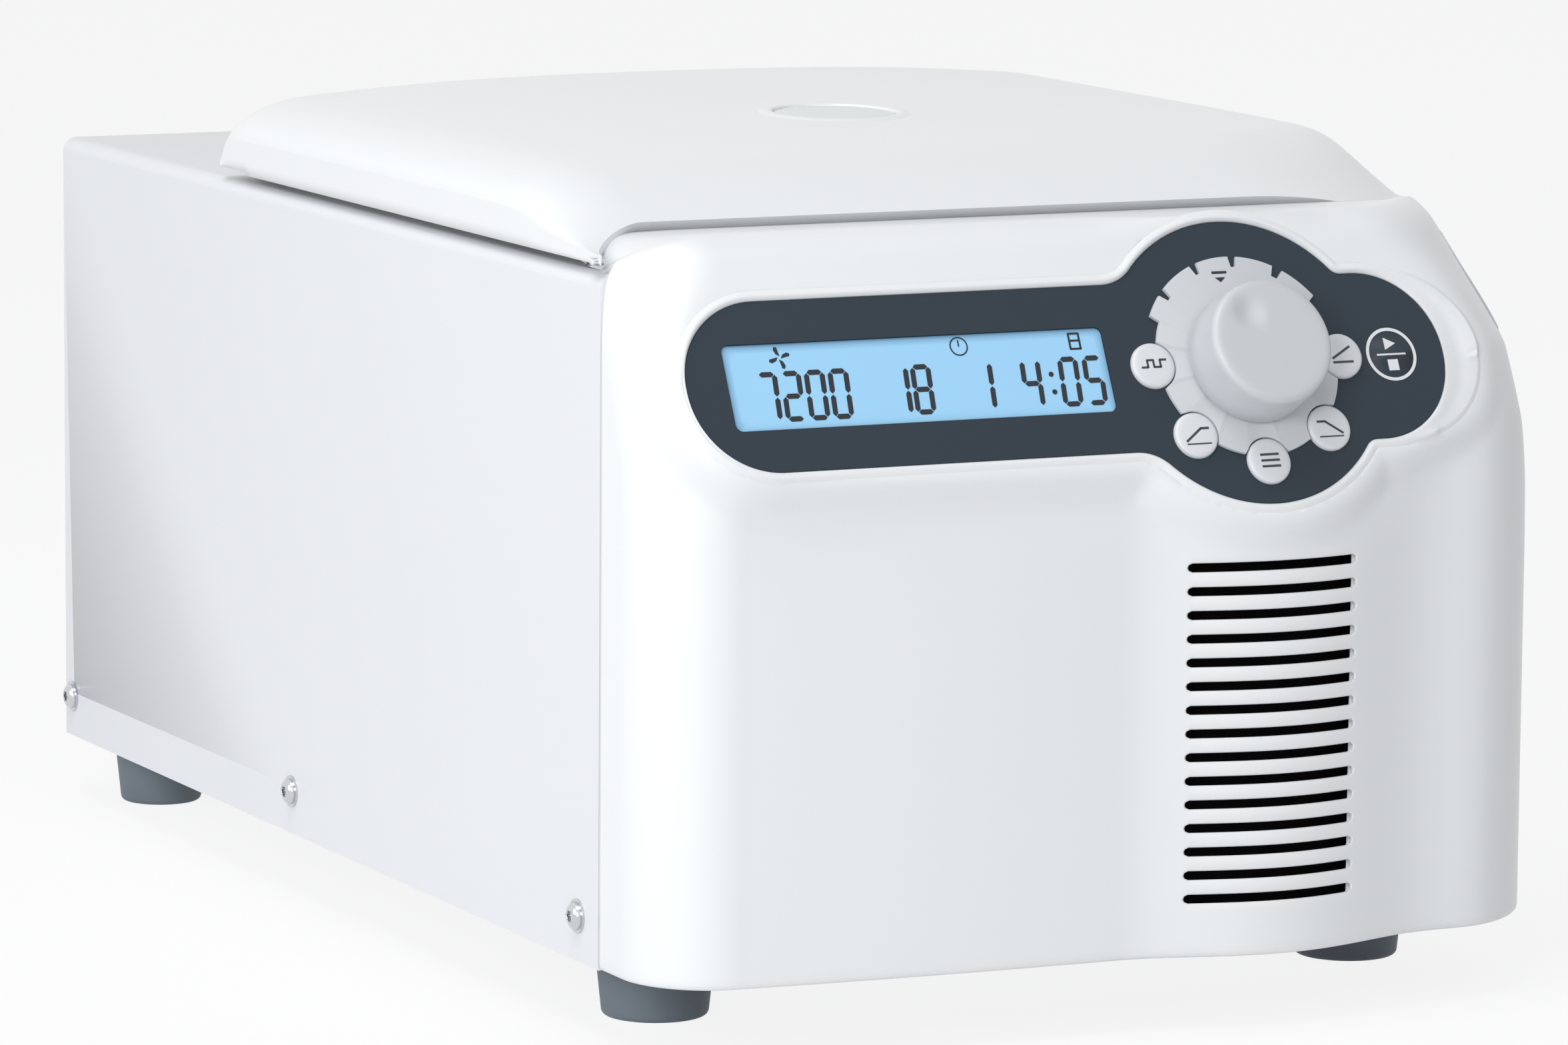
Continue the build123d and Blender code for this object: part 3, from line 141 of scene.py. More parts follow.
def surface(name, rgb, rough, grain=1500.0, lift=0.05, spread=0.05, tone=0.02, stretch=(1, 1, 1), metal=0.0,
            coat=0.0, patches=18.0, shine=0.5):
    """Fine noise lifts a bump and spreads the roughness; broad noise moves the colour a little each way."""
    material = bpy.data.materials.new(name)
    material.use_nodes = True
    nodes, links = material.node_tree.nodes, material.node_tree.links
    shader = nodes["Principled BSDF"]
    for socket, value in [("Metallic", metal), ("Coat Weight", coat), ("Specular IOR Level", shine)]:
        shader.inputs[socket].default_value = value
    place = nodes.new("ShaderNodeTexCoord")
    scaled = nodes.new("ShaderNodeMapping")
    scaled.inputs["Scale"].default_value = stretch
    links.new(place.outputs["Object"], scaled.inputs["Vector"])
    fine, broad = nodes.new("ShaderNodeTexNoise"), nodes.new("ShaderNodeTexNoise")
    for noise, scale, detail, where in [(fine, grain, 3.0, scaled.outputs[0]),
                                        (broad, patches, 2.0, place.outputs["Object"])]:
        noise.inputs["Scale"].default_value = scale
        noise.inputs["Detail"].default_value = detail
        links.new(where, noise.inputs["Vector"])
    mixed = nodes.new("ShaderNodeMix")
    mixed.data_type = "RGBA"
    base = np.array(colour(*rgb))[:3]
    mixed.inputs[mix_a].default_value = tuple(base * (1 - tone)) + (1.0,)
    mixed.inputs[mix_b].default_value = tuple(np.minimum(base * (1 + tone), 1.0)) + (1.0,)
    links.new(broad.outputs["Fac"], mixed.inputs[0])
    links.new(mixed.outputs[mix_out], shader.inputs["Base Color"])
    roughness = nodes.new("ShaderNodeMapRange")
    roughness.inputs["To Min"].default_value = max(rough - spread, 0.02)
    roughness.inputs["To Max"].default_value = min(rough + spread, 1.0)
    links.new(fine.outputs["Fac"], roughness.inputs["Value"])
    links.new(roughness.outputs[0], shader.inputs["Roughness"])
    bump = nodes.new("ShaderNodeBump")
    bump.inputs["Strength"].default_value = lift
    bump.inputs["Distance"].default_value = 0.0003
    links.new(fine.outputs["Fac"], bump.inputs["Height"])
    links.new(bump.outputs[0], shader.inputs["Normal"])
    return material


def settle(name, mesh, body, nodes=()):
    """The mesh as a piece of that name: it rides the body and stands in for the nodes it replaces."""
    piece = bpy.data.objects.new(name, mesh)
    scene.collection.objects.link(piece)
    if nodes:
        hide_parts(*nodes)
    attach(piece, body)
    return piece


def clean(mesh, merge, angle, turn_out=False):
    """Points within merge metres joined, slivers dissolved, faces turned out if asked, smooth up to angle."""
    work = bmesh.new()
    work.from_mesh(mesh)
    bmesh.ops.remove_doubles(work, verts=work.verts, dist=merge)
    bmesh.ops.dissolve_degenerate(work, edges=work.edges, dist=1e-7)
    if turn_out:
        bmesh.ops.recalc_face_normals(work, faces=work.faces)
    work.to_mesh(mesh)
    work.free()
    mesh.polygons.foreach_set("use_smooth", np.ones(len(mesh.polygons), bool))
    mesh.set_sharp_from_angle(angle=radians(angle))


def smooth_copy(node, body, material):
    """The node's own triangles joined into one skin, shaded smooth where faces meet under 32 degrees."""
    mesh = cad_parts[node].data.copy()
    mesh.name = node + "_skin"
    clean(mesh, 1e-6, 32.0)
    mesh.materials.clear()
    mesh.materials.append(material)
    settle(node + "_skin", mesh, body, [node])


cover_paint = surface("cover_paint", (228, 230, 234), 0.42, grain=900.0, lift=0.06, tone=0.006)
smooth_copy("cabinet_cover", "cabinet", cover_paint)
smooth_copy("rear_panel", "cabinet", cover_paint)
zinc = surface("zinc_plate", (178, 181, 184), 0.38, grain=700.0, spread=0.1, tone=0.06, metal=1.0)
for sheet_part in ["base_plate", "condenser_stand", "hinge_brackets", "motor_mount_plate", "rear_screws"]:
    smooth_copy(sheet_part, "cabinet", zinc)
smooth_copy("latch_slider", "latch", zinc)
smooth_copy("lid_knuckles", "lid", zinc)

# Front fascia: one white plastic moulding with a satin face, crowned in plan, its shoulder leaning back to a
# short hood under the lid. A vent column swells out of its right half. It clips to the tray and the cover.
seam_y, half_width, base_z, hood_z = -213.014, 166.0, 24.0, 260.5
cover_top, hood_back, shoulder_z = 248.3, seam_y + 24.0, 190.5
lean_sin, lean_cos = np.sin(radians(27.0)), np.cos(radians(27.0))
lean_tan = lean_sin / lean_cos
panel_x, panel_y, panel_z = 45.0, seam_y - 39.9, 215.2
left_x, left_round, right_x, right_level_x = -136.0, 30.0, 92.0, 130.0
crown_out, crown_bow, slope_out = 44.3, 9.0, 53.3
column_x, column_half, column_out, column_bow = 50.0, 44.0, 63.5, 12.7
dish_reach, blend_reach, panel_low = 11.0, 16.0, 150
arch_x, arch_wide, arch_drop = 131.0, 35.0, 13.0
cover_lap, cover_lap_turn = 1.7, 0.4


def soft_min(a, b, width):
    """The smaller of a and b, rounded where they are within width of each other."""
    share = np.clip(0.5 + 0.5 * (b - a) / width, 0, 1)
    return b * (1 - share) + a * share - width * share * (1 - share)


def smooth_step(t):
    """Nought below 0, one above 1, and 3 t squared less 2 t cubed between."""
    t = np.clip(t, 0, 1)
    return t * t * (3 - 2 * t)


def arc_points(cx, cy, radius, start, end, count):
    """Points on a circle from one angle to another, in degrees."""
    turn = np.radians(np.linspace(start, end, count))
    return np.stack([cx + radius * np.cos(turn), cy + radius * np.sin(turn)], 1)


# The film's outline, from the dial's middle: tail on the right, disc round the dial, long arm on the left.
tail_u, arm_u, arm_round, disc_round = 45.0, -170.9, 28.1, 48.5
film_line = np.vstack([
    arc_points(tail_u, -0.5, arm_round, -90, 0, 60), arc_points(tail_u, 0.5, arm_round, 0, 90, 60),
    arc_points(41.63, 33.6, 5, 270, 218.9, 12), arc_points(0, 0, disc_round, 38.9, 136.3, 100),
    arc_points(-46.6, 44.6, 16, -43.7, -90, 24), arc_points(arm_u, 0.5, arm_round, 90, 180, 60),
    arc_points(arm_u, -0.5, arm_round, 180, 270, 60), arc_points(-46.6, -44.6, 16, 90, 43.7, 24),
    arc_points(0, 0, disc_round, -136.3, -38.9, 100), arc_points(41.63, -33.6, 5, 141.1, 90, 12)])
steps = np.linalg.norm(np.roll(film_line, -1, 0) - film_line, axis=1)
along = np.concatenate([[0], np.cumsum(steps)])
closed_line = np.vstack([film_line, film_line[:1]])
even = np.linspace(0, along[-1], 520, endpoint=False)
outline = np.stack([np.interp(even, along, closed_line[:, k]) for k in (0, 1)], 1)


def tail_reach(u, v):
    """How far the dish past the tail reaches: 11 mm times the cosine of the angle there, to the power 2.5."""
    cosine = np.maximum(u - tail_u, 0) / np.maximum(np.hypot(u - tail_u, v), 1e-6)
    return dish_reach * cosine ** 2.5


def outline_gap(u, v):
    """Distance outside the film's outline, less the dish's reach; negative inside."""
    shape = np.shape(u)
    points = np.stack([np.ravel(u), np.ravel(v)], 1)
    nearest = np.empty(len(points))
    inside = np.zeros(len(points), bool)
    after = np.roll(outline, -1, 0)
    span = after - outline
    batch = 4000
    for first in range(0, len(points), batch):
        part = points[first:first + batch]
        offset = part[:, None, :] - outline[None]
        t = np.clip((offset * span).sum(2) / (span ** 2).sum(1), 0, 1)
        nearest[first:first + batch] = np.linalg.norm(offset - t[..., None] * span, axis=2).min(1)
        above = (outline[:, 1] > part[:, None, 1]) != (after[:, 1] > part[:, None, 1])
        slope = (part[:, None, 1] - outline[:, 1]) / np.where(span[:, 1] == 0, 1e-9, span[:, 1])
        crossed = (part[:, None, 0] < outline[:, 0] + slope * span[:, 0]) & above
        inside[first:first + batch] = crossed.sum(1) % 2
    gap = np.where(inside, -nearest, nearest).reshape(shape)
    return gap - np.where(gap > -20, tail_reach(u, v), 0)


def wall_y(x, z):
    """Crowned plan and vent column blended by their forward side, then blended with the leaning slope."""
    crown = seam_y - crown_out - crown_bow * (1 - (x / half_width) ** 2)
    column = seam_y - column_out + column_bow * ((x - column_x) / column_half) ** 2
    slope = seam_y - slope_out + (z - shoulder_z) * lean_tan
    return -soft_min(-soft_min(crown, column, 10.0), -slope, 18.0)


def near_panel(x, y, z):
    """The wall drawn to the panel's plane near the film, fading over 16 mm; also that share and the gap."""
    u, v = x - panel_x, (z - panel_z) / lean_cos
    plane = panel_y + (z - panel_z) * lean_tan - 0.5 / lean_cos
    gap = outline_gap(u, v)
    away = np.hypot(np.maximum(gap - 3.0, 0), 0.5 * np.abs(plane - y) * lean_cos)
    share = (1 - smooth_step(away / blend_reach)) * (1 - 0.7 * tail_reach(u, v) / dish_reach)
    share = np.where(z < panel_low, 0, share)
    return y + (plane - y) * share, share, gap


def corner_sizes(z):
    """Width and depth of the right corner's quarter ellipse, from the shoulder's three levels."""
    levels = [150.0, shoulder_z, 217.0, hood_z + 1.0]
    width = [np.interp(z + d, levels, [50, 50, 48, 70]) for d in (-2, 0, 2)]
    depth = [np.interp(z + d, levels, [50, 52, 65, 155]) for d in (-2, 0, 2)]
    return sum(width) / 3, sum(depth) / 3


def corner_fall(turn, depth):
    """How far the quarter ellipse falls back at an angle, less its 1.7 mm lap over the sheet behind."""
    return depth * (1 - np.cos(turn)) - cover_lap * smooth_step(turn / cover_lap_turn)


def arch_top(x):
    """The hood's edge: flat, with a quarter ellipse 35 wide and 13 high at each side."""
    past = np.clip((np.abs(x) - arch_x) / arch_wide, 0, 1)
    return hood_z - arch_drop * (1 - np.sqrt(1 - past ** 2))


# Rows of points: the low edge, fifteen slots with round ends, plain wall, then the hood's rounded edge.
slot_count, slot_pitch, slot_low, slot_x, slot_half = 15, 7.73, base_z + 19.5, 46.0, 29.05
slot_round, no_slot, plain_top = 1.45, 9.0, 165.0
slot_rows, slot_rise = [], []
for slot in range(slot_count):
    middle = slot_low + slot * slot_pitch
    for rise in (-3.86, -1.95, -1.45, -0.9, 0.0, 0.9, 1.45, 1.95):
        slot_rows.append(middle + rise)
        slot_rise.append(rise)
low_rows = [base_z, base_z + 0.3, base_z + 1.0, base_z + 2.0] + list(np.linspace(base_z + 4, base_z + 14, 5))
plain_rows = list(np.linspace(slot_rows[-1] + 1.8, plain_top, 6))
row_z = np.array(low_rows + slot_rows + plain_rows)
edge_turn = np.linspace(0, np.pi / 2, 8)
edge_depth = 7.6
up_rows = 54
share_up = np.concatenate([np.linspace(0, 1, up_rows)[1:], np.ones(7)])
edge_down = np.concatenate([np.full(up_rows - 1, edge_depth), edge_depth * (1 - np.sin(edge_turn[1:]))])
edge_in = np.concatenate([np.zeros(up_rows - 1), 1 - np.cos(edge_turn[1:])])

# Columns run from the hood's back on the left, round the left corner, over the front and back on the right.
slot_ends = [slot_x + side * slot_half + step for side in (-1, 1) for step in (-0.45, 0, 0.45)]
front_x = np.concatenate([np.linspace(left_x, slot_ends[0] - 1.4, 84), slot_ends[:3],
                          np.linspace(slot_ends[2] + 1.6, slot_ends[3] - 1.6, 32), slot_ends[3:],
                          np.linspace(slot_ends[5] + 1.5, right_x, 10)])
left_back = np.linspace(1, 0, 6)[:-1]
left_share = np.linspace(1, 0, 31)[:-1]
side_cols = len(left_back) + len(left_share)


def plan_row(z_of_x):
    """Plan of a row: left line and arc of 30, the wall's line, right quarter ellipse; both ends run back."""
    centre_y = wall_y(left_x, z_of_x(np.array([left_x]))[0]) + left_round
    quarter = left_round * np.pi / 2
    if centre_y < seam_y:
        travel = left_share * ((seam_y - centre_y) + quarter)
        turn = np.clip(travel / left_round, 0, np.pi / 2)
        left_y = centre_y - left_round * np.cos(turn) + np.maximum(travel - quarter, 0)
    else:
        turn = left_share * np.arccos(np.clip((centre_y - seam_y) / left_round, 0, 1))
        left_y = centre_y - left_round * np.cos(turn)
    left = left_x - left_round * np.sin(turn)
    back_y = seam_y + left_back * (hood_back - seam_y)
    ahead = np.clip((centre_y - back_y) / left_round, 0, 1)
    left_behind = left_x - left_round * np.sqrt(1 - ahead ** 2)

    z_right = z_of_x(np.array([right_level_x]))[0]
    wide, deep = corner_sizes(z_right)
    corner_x = half_width - wide
    between = np.linspace(right_x, corner_x, 14)[1:-1]
    corner_y = wall_y(corner_x, z_right)
    depth = seam_y - corner_y
    if deep < depth:
        turn = np.concatenate([np.linspace(0, np.pi / 2, 42), np.full(6, np.pi / 2)])
        right_y = corner_y + corner_fall(turn, deep)
        right_y[42:] = np.linspace(corner_y + deep - cover_lap, seam_y, 7)[1:]
    else:
        turn = np.linspace(0, np.arccos(1 - min((depth + cover_lap) / deep, 1)), 48)
        right_y = corner_y + corner_fall(turn, deep)
    right = corner_x + wide * np.sin(turn)
    ahead = np.clip(1 - (back_y[::-1] - corner_y + cover_lap) / deep, 0, 1)
    right_behind = corner_x + wide * np.sqrt(1 - ahead ** 2)
    x = np.concatenate([left_behind, left, front_x, between, right, right_behind])
    y = np.concatenate([back_y, left_y, wall_y(front_x, z_of_x(front_x)), wall_y(between, z_of_x(between)),
                        right_y, back_y[::-1]])
    return x, y


rows = []
for z in row_z:
    x, y = plan_row(lambda q: np.full(np.shape(q), z))
    rows.append((x, y, np.full(len(x), z)))
for share, down in zip(share_up, edge_down):
    def row_height(q, share=share, down=down):
        """Row height: part of the way from 165 to the edge's start, then down from the arch's top."""
        top = arch_top(q)
        return plain_top + (top - edge_depth - plain_top) * share if down >= edge_depth else top - down
    x, y = plan_row(row_height)
    rows.append((x, y, row_height(x)))
wall_x, wall_yy, wall_z = (np.array([r[k] for r in rows]) for k in range(3))
row_rise = np.array([no_slot] * len(low_rows) + slot_rise + [no_slot] * (len(plain_rows) + len(share_up)))
after_front = wall_x.shape[1] - side_cols - len(front_x)
column_x0 = np.concatenate([np.full(side_cols, -1e3), front_x, np.full(after_front, 1e3)])
bow = np.sqrt(np.maximum(slot_round ** 2 - np.minimum(np.abs(row_rise), slot_round) ** 2, 0))
for end, way in [(slot_ends[1], -1), (slot_ends[4], 1)]:
    at = np.argmin(np.abs(column_x0 - end))
    for k in (-1, 0, 1):
        wall_x[:, at + k] += way * bow
    wall_yy[:, at - 1:at + 2] = wall_y(wall_x[:, at - 1:at + 2], wall_z[:, at - 1:at + 2])
drawn_y, share_near, gap = near_panel(wall_x, wall_yy, wall_z)
wall_yy = np.where(wall_yy < seam_y - 0.5, drawn_y, wall_yy)

# Edge of the hood, bottom edge and slot edges: each is drawn in along the plan's own normal.
gap_end, gap_fade = 154, 20.0
dx, dy = np.gradient(wall_x, axis=1), np.gradient(wall_yy, axis=1)
size = np.maximum(np.hypot(dx, dy), 1e-6)
in_x, in_y = -dy / size, dx / size
edge_width = 5.0 + 3.6 * smooth_step((150 - np.abs(wall_x)) / gap_fade)
inward = np.zeros_like(wall_x)
inward[len(row_z):] += edge_in[:, None] * edge_width[len(row_z):] * (1 - share_near[len(row_z):])
bottom_round = 2.0
for k, turn in enumerate(np.radians([0, 32, 60, 90])):
    wall_z[k] = base_z + bottom_round * (1 - np.cos(turn))
    inward[k] += bottom_round * (1 - np.sin(turn))
left_end = np.argmin(np.abs(column_x0 - slot_ends[1]))
right_end = np.argmin(np.abs(column_x0 - slot_ends[4]))
in_slot_rows = np.abs(row_rise) <= slot_round + 0.01
slot_edge = np.zeros_like(wall_x, bool)
slot_edge[np.abs(np.abs(row_rise) - slot_round) < 0.01, left_end:right_end + 1] = True
slot_edge[in_slot_rows, left_end] = True
slot_edge[in_slot_rows, right_end] = True
inward[slot_edge] += 0.35
wall_x, wall_yy = wall_x + in_x * inward, np.minimum(wall_yy + in_y * inward, hood_back)
behind = np.zeros_like(wall_x, bool)
behind[:, :len(left_back)] = True
behind[:, -len(left_back):] = True
wall_z = np.where(behind, np.maximum(wall_z, cover_top), wall_z)


def cells(grid, take):
    """What take gives (the least, any or all) of the four corners of each cell of a grid."""
    return take.reduce([grid[:-1, :-1], grid[1:, :-1], grid[:-1, 1:], grid[1:, 1:]])


# Cells left out: behind the seam below the cover's top, in the slots, and under the film.
low_cell = cells(wall_z, np.minimum)
keep = ~((behind[:-1, :-1] | behind[1:, 1:]) & (low_cell < cover_top + 0.01))
keep[in_slot_rows[:-1] & in_slot_rows[1:], left_end:right_end] = False
keep &= ~(cells(gap < 1.0, np.logical_or) & (low_cell > panel_low))

# The hood's roof runs back under the lid and falls a little on the way, which leaves a shaded gap there.
roof_steps = np.linspace(0, 1, 9)
back_share = smooth_step(roof_steps) * 0.4 + roof_steps * 0.6
roof_fall = 1.9 * smooth_step(roof_steps * 1.2)[:, None]
roof = np.stack([np.repeat(wall_x[-1][None], len(roof_steps), 0),
                 wall_yy[-1] + (hood_back - wall_yy[-1]) * back_share[:, None],
                 wall_z[-1] - roof_fall * smooth_step((gap_end - np.abs(wall_x[-1])) / gap_fade)], -1)


def skin(name, patches, body, material, nodes=(), merge=0.002, angle=40.0, turn_out=False):
    """Grids of points in mm, with a mask of the quads to keep, joined where they meet into one piece."""
    places, quads, start = [], [], 0
    for points, mask, wrap in patches:
        count_r, count_c = points.shape[:2]
        index = np.arange(count_r * count_c).reshape(count_r, count_c) + start
        if wrap:
            index = np.hstack([index, index[:, :1]])
        cells = np.stack([index[:-1, :-1], index[:-1, 1:], index[1:, 1:], index[1:, :-1]], -1)
        quads.append(cells.reshape(-1, 4) if mask is None else cells[mask])
        places.append(points.reshape(-1, 3))
        start += count_r * count_c
    places, quads = np.vstack(places) / 1000.0, np.vstack(quads)
    used, quads = np.unique(quads, return_inverse=True)
    mesh = bpy.data.meshes.new(name)
    mesh.from_pydata(places[used].tolist(), [], quads.reshape(-1, 4).tolist())
    clean(mesh, merge / 1000.0, angle, turn_out)
    mesh.materials.append(material)
    return settle(name, mesh, body, nodes)


def give_wall(piece, thick):
    """A wall of even thickness, in metres, laid inside the skin."""
    wall = piece.modifiers.new("wall", "SOLIDIFY")
    wall.thickness = thick
    wall.offset = -1.0
    wall.use_rim = True


moulding = surface("satin_moulding", (237, 239, 241), 0.34, grain=1300.0, lift=0.025, tone=0.004, coat=0.05)
fascia_points = np.stack([wall_x, wall_yy, wall_z], -1)
fascia = skin("fascia_moulding", [(fascia_points, keep, False), (roof, None, False)], "cabinet", moulding,
              ["front_fascia"], merge=0.01)
give_wall(fascia, 0.003)

# Shade behind the slots: a thin black sheet is laid just behind the fascia's back, over the slots. It is painted
# shade that stands in for the shade inside them, and it hides what lies behind.
shade_sheet_x, shade_sheet_z = np.meshgrid(np.linspace(8, 88, 24), np.linspace(34, 164, 12))
shade_sheet_y = seam_y - 51.0 + 5.0 * ((shade_sheet_x - 48.0) / 44.0) ** 2
# Painted shade: a near-black matte colour for the sheet behind the slots.
slot_shade_black = surface("painted_slot_shade", (12, 12, 13), 0.95, grain=900.0, lift=0.4, tone=0.2, shine=0.05)
give_wall(skin("slot_shade_sheet", [(np.stack([shade_sheet_x, shade_sheet_y, shade_sheet_z], -1), None, False)], "cabinet", slot_shade_black), 0.001)

# Panel surround: the soft ridge of the fascia's own white plastic round the film. It widens into a shallow
# dish past the film's tail and is moulded in one with the fascia.
tangent = np.roll(outline, -1, 0) - np.roll(outline, 1, 0)
tangent /= np.linalg.norm(tangent, axis=1)[:, None]
normal = np.stack([tangent[:, 1], -tangent[:, 0]], 1)
reach = tail_reach(outline[:, 0] + normal[:, 0] * 2, outline[:, 1] + normal[:, 1] * 2)


def on_panel(u, v, w):
    """Panel places to machine places: along the width, up the slope and out from it."""
    return np.stack([panel_x + u + 0 * v, panel_y + lean_sin * v - lean_cos * w,
                     panel_z + lean_cos * v + lean_sin * w], -1)


def face_height(u, v):
    """Height of the fascia's skin over the panel's plane at (u, v), found in six steps along the normal."""
    w = np.zeros(np.shape(u))
    for _ in range(6):
        z = panel_z + lean_cos * v + lean_sin * w
        x = panel_x + u
        a, b = corner_sizes(z)
        x0 = half_width - a
        turn = np.clip((x - x0) / a, 0, 0.98)
        left = np.clip((left_x - x) / left_round, 0, 0.98)
        y = wall_y(np.clip(x, left_x, x0), z) + corner_fall(np.arcsin(turn), b)
        y = y + left_round * (1 - np.sqrt(1 - left ** 2))
        y = near_panel(x, y, z)[0]
        w = (panel_y + lean_sin * v - y) / lean_cos
    return w


# Steps outward over the ridge: distance from the film, height, and share of the way to the fascia's own skin.
ridge_steps = [(0.15, -1.15, 0.0), (0.15, -0.3, 0.0), (0.3, 0.25, 0.0), (0.6, 0.62, 0.08), (0.9, 0.86, 0.35),
               (1.2, 0.98, 0.7), (1.6, 1.0, 1.0), (2.1, 0.9, 1.0), (2.7, 0.62, 1.0), (3.4, 0.3, 1.0),
               (4.2, -0.12, 1.0)]
ring = []
for out, high, share in ridge_steps:
    place = outline + normal * (out + reach * share)[:, None]
    under = face_height(place[:, 0], place[:, 1])
    ridge_w = np.maximum(under, -4.0) + high - 0.3
    inner_w = np.full(len(outline), high)
    dish = 1.6 * (reach / dish_reach) * np.sin(np.pi * share)
    w = inner_w + (ridge_w - inner_w) * smooth_step(share) - dish
    if share == 1.0 and high > 0.5:
        w = np.where(under > -1.0, np.maximum(w, high - 0.35), w)
    ring.append(on_panel(place[:, 0], place[:, 1], w))
for out, drop in [(4.0, 1.6), (1.5, 1.9), (0.2, 1.6)]:
    place = outline + normal * (out + reach * (1.0 if out > 1 else 0.0))[:, None]
    under = np.minimum(face_height(place[:, 0], place[:, 1]), 0.3)
    ring.append(on_panel(place[:, 0], place[:, 1], under - drop if out > 1 else np.full(len(outline), -1.6)))
ring.append(ring[0])
skin("panel_surround", [(np.array(ring), None, True)], "cabinet", moulding,
     merge=0.001, turn_out=True, angle=60.0)

# Control film: a slate polyester film with a fine grain, printed from behind, cut out for the dial and the
# keys, and bonded into the fascia's recess.
film = surface("slate_film", (46, 56, 66), 0.46, grain=2600.0, lift=0.06, tone=0.03, shine=0.25)
smooth_copy("control_overlay", "cabinet", film)

# Display: a liquid crystal module, its lit blue face of glass behind the film's window, with painted shade
# under the window's upper, left and right edges, and black seven-bar digits and small signs just over it.
lit_blue = surface("lit_display", (160, 214, 246), 0.5, grain=2400.0, lift=0.0, tone=0.01)
lit_nodes, lit_links = lit_blue.node_tree.nodes, lit_blue.node_tree.links
lit_shader = lit_nodes["Principled BSDF"]
painted_shade_blues = lit_shader.inputs["Base Color"].links[0].from_node
lit_nodes.remove(painted_shade_blues.inputs[0].links[0].from_node)
# Painted shade: a per-point share mixes the face's blue from a shaded blue to a lit blue, and the same mix sets its
# glow.
shade = lit_nodes.new("ShaderNodeAttribute")
shade.attribute_name = "painted_edge_shade"
painted_shade_blues.inputs[mix_a].default_value = colour(84, 128, 162)
painted_shade_blues.inputs[mix_b].default_value = colour(153, 204, 238)
lit_links.new(shade.outputs["Fac"], painted_shade_blues.inputs[0])
lit_links.new(painted_shade_blues.outputs[mix_out], lit_shader.inputs["Emission Color"])
lit_shader.inputs["Emission Strength"].default_value = 0.1
lcd_left, lcd_right, lcd_half, lcd_round = -184.7, -50.2, 14.3, 2.3
turns = np.radians(np.concatenate([np.linspace(start, start + 90, 7) for start in (0, 90, 180, 270)]))
corner_u = np.repeat([lcd_right, lcd_left, lcd_left, lcd_right], 7)
corner_v = np.repeat([lcd_half, lcd_half, -lcd_half, -lcd_half], 7)
rim_u = corner_u - np.repeat([1, -1, -1, 1], 7) * lcd_round + lcd_round * np.cos(turns)
rim_v = corner_v - np.repeat([1, 1, -1, -1], 7) * lcd_round + lcd_round * np.sin(turns)
mid_u = (lcd_left + lcd_right) / 2
face_rings = []
for shrink, w in [(1.0, -1.15), (1.0, -0.62), (0.998, -0.6), (0.9, -0.6), (0.0, -0.6)]:
    edge_gap = (1 - shrink) * lcd_half * 2
    ring_u = mid_u + np.sign(rim_u - mid_u) * np.maximum(np.abs(rim_u - mid_u) - edge_gap, 0)
    ring_v = np.sign(rim_v) * np.maximum(np.abs(rim_v) - edge_gap, 0)
    face_rings.append(on_panel(ring_u, ring_v, np.full(len(ring_u), w)))
display = skin("display_face", [(np.array(face_rings), None, True)], "cabinet", lit_blue,
               ["lcd_window"], merge=0.0005)
face_co = np.zeros(len(display.data.vertices) * 3)
display.data.vertices.foreach_get("co", face_co)
face_co = face_co.reshape(-1, 3) * 1000
face_u = face_co[:, 0] - panel_x
face_v = (face_co[:, 2] - panel_z) / lean_cos
painted_shade_layer = display.data.attributes.new("painted_edge_shade", "FLOAT", "POINT")
# Painted shade: the share drops near the window's upper and left edges, and half as much near its right edge.
near_top = smooth_step((lcd_half - face_v) / 2.6)
near_left = smooth_step((face_u - lcd_left) / 3.0)
near_right = smooth_step((lcd_right - face_u) / 1.6)
painted_shade_level = 0.25 + 0.75 * near_top * near_left * (0.5 + 0.5 * near_right)
painted_shade_layer.data.foreach_set("value", painted_shade_level.astype(np.float32))


def printed(name, shapes, low, high, body, material):
    """Flat shapes, each a loop of (u, v) points on the panel, raised from low to high with closed sides."""
    places, faces, start = [], [], 0
    for loop in shapes:
        loop = np.array(loop, float)
        area = np.sum(loop[:, 0] * np.roll(loop[:, 1], -1) - np.roll(loop[:, 0], -1) * loop[:, 1])
        loop = loop if area > 0 else loop[::-1]
        count = len(loop)
        places += [on_panel(loop[:, 0], loop[:, 1], np.full(count, w)) for w in (low, high)]
        base = np.arange(count) + start
        faces.append((base + count).tolist())
        faces.append(base[::-1].tolist())
        ahead = np.roll(base, -1)
        faces += np.stack([base, ahead, ahead + count, base + count], 1).tolist()
        start += 2 * count
    mesh = bpy.data.meshes.new(name)
    mesh.from_pydata((np.vstack(places) / 1000.0).tolist(), [], faces)
    mesh.materials.append(material)
    settle(name, mesh, body)


def stroke(points, width):
    """A drawn line as a run of four-cornered shapes, each a little longer than its stretch."""
    shapes = []
    for start, end in zip(points[:-1], points[1:]):
        start, end = np.array(start, float), np.array(end, float)
        along_it = (end - start) / max(np.linalg.norm(end - start), 1e-6)
        across = np.array([-along_it[1], along_it[0]]) * width / 2
        start, end = start - along_it * width * 0.25, end + along_it * width * 0.25
        shapes.append([start + across, start - across, end - across, end + across])
    return shapes


digit_low, digit_wide, digit_tall, digit_thick, digit_slant, bar_gap = -11.0, 5.5, 15.2, 1.75, 0.06, 0.18
bars = {"a": ((0, 1), (1, 1)), "b": ((1, 1), (1, .5)), "c": ((1, .5), (1, 0)), "d": ((0, 0), (1, 0)),
        "e": ((0, .5), (0, 0)), "f": ((0, 1), (0, .5)), "g": ((0, .5), (1, .5))}
digit_bars = {"0": "abcdef", "1": "bc", "2": "abged", "3": "abgcd", "4": "fgbc", "5": "afgcd", "6": "afgedc",
              "7": "abc", "8": "abcdefg", "9": "abcdfg"}


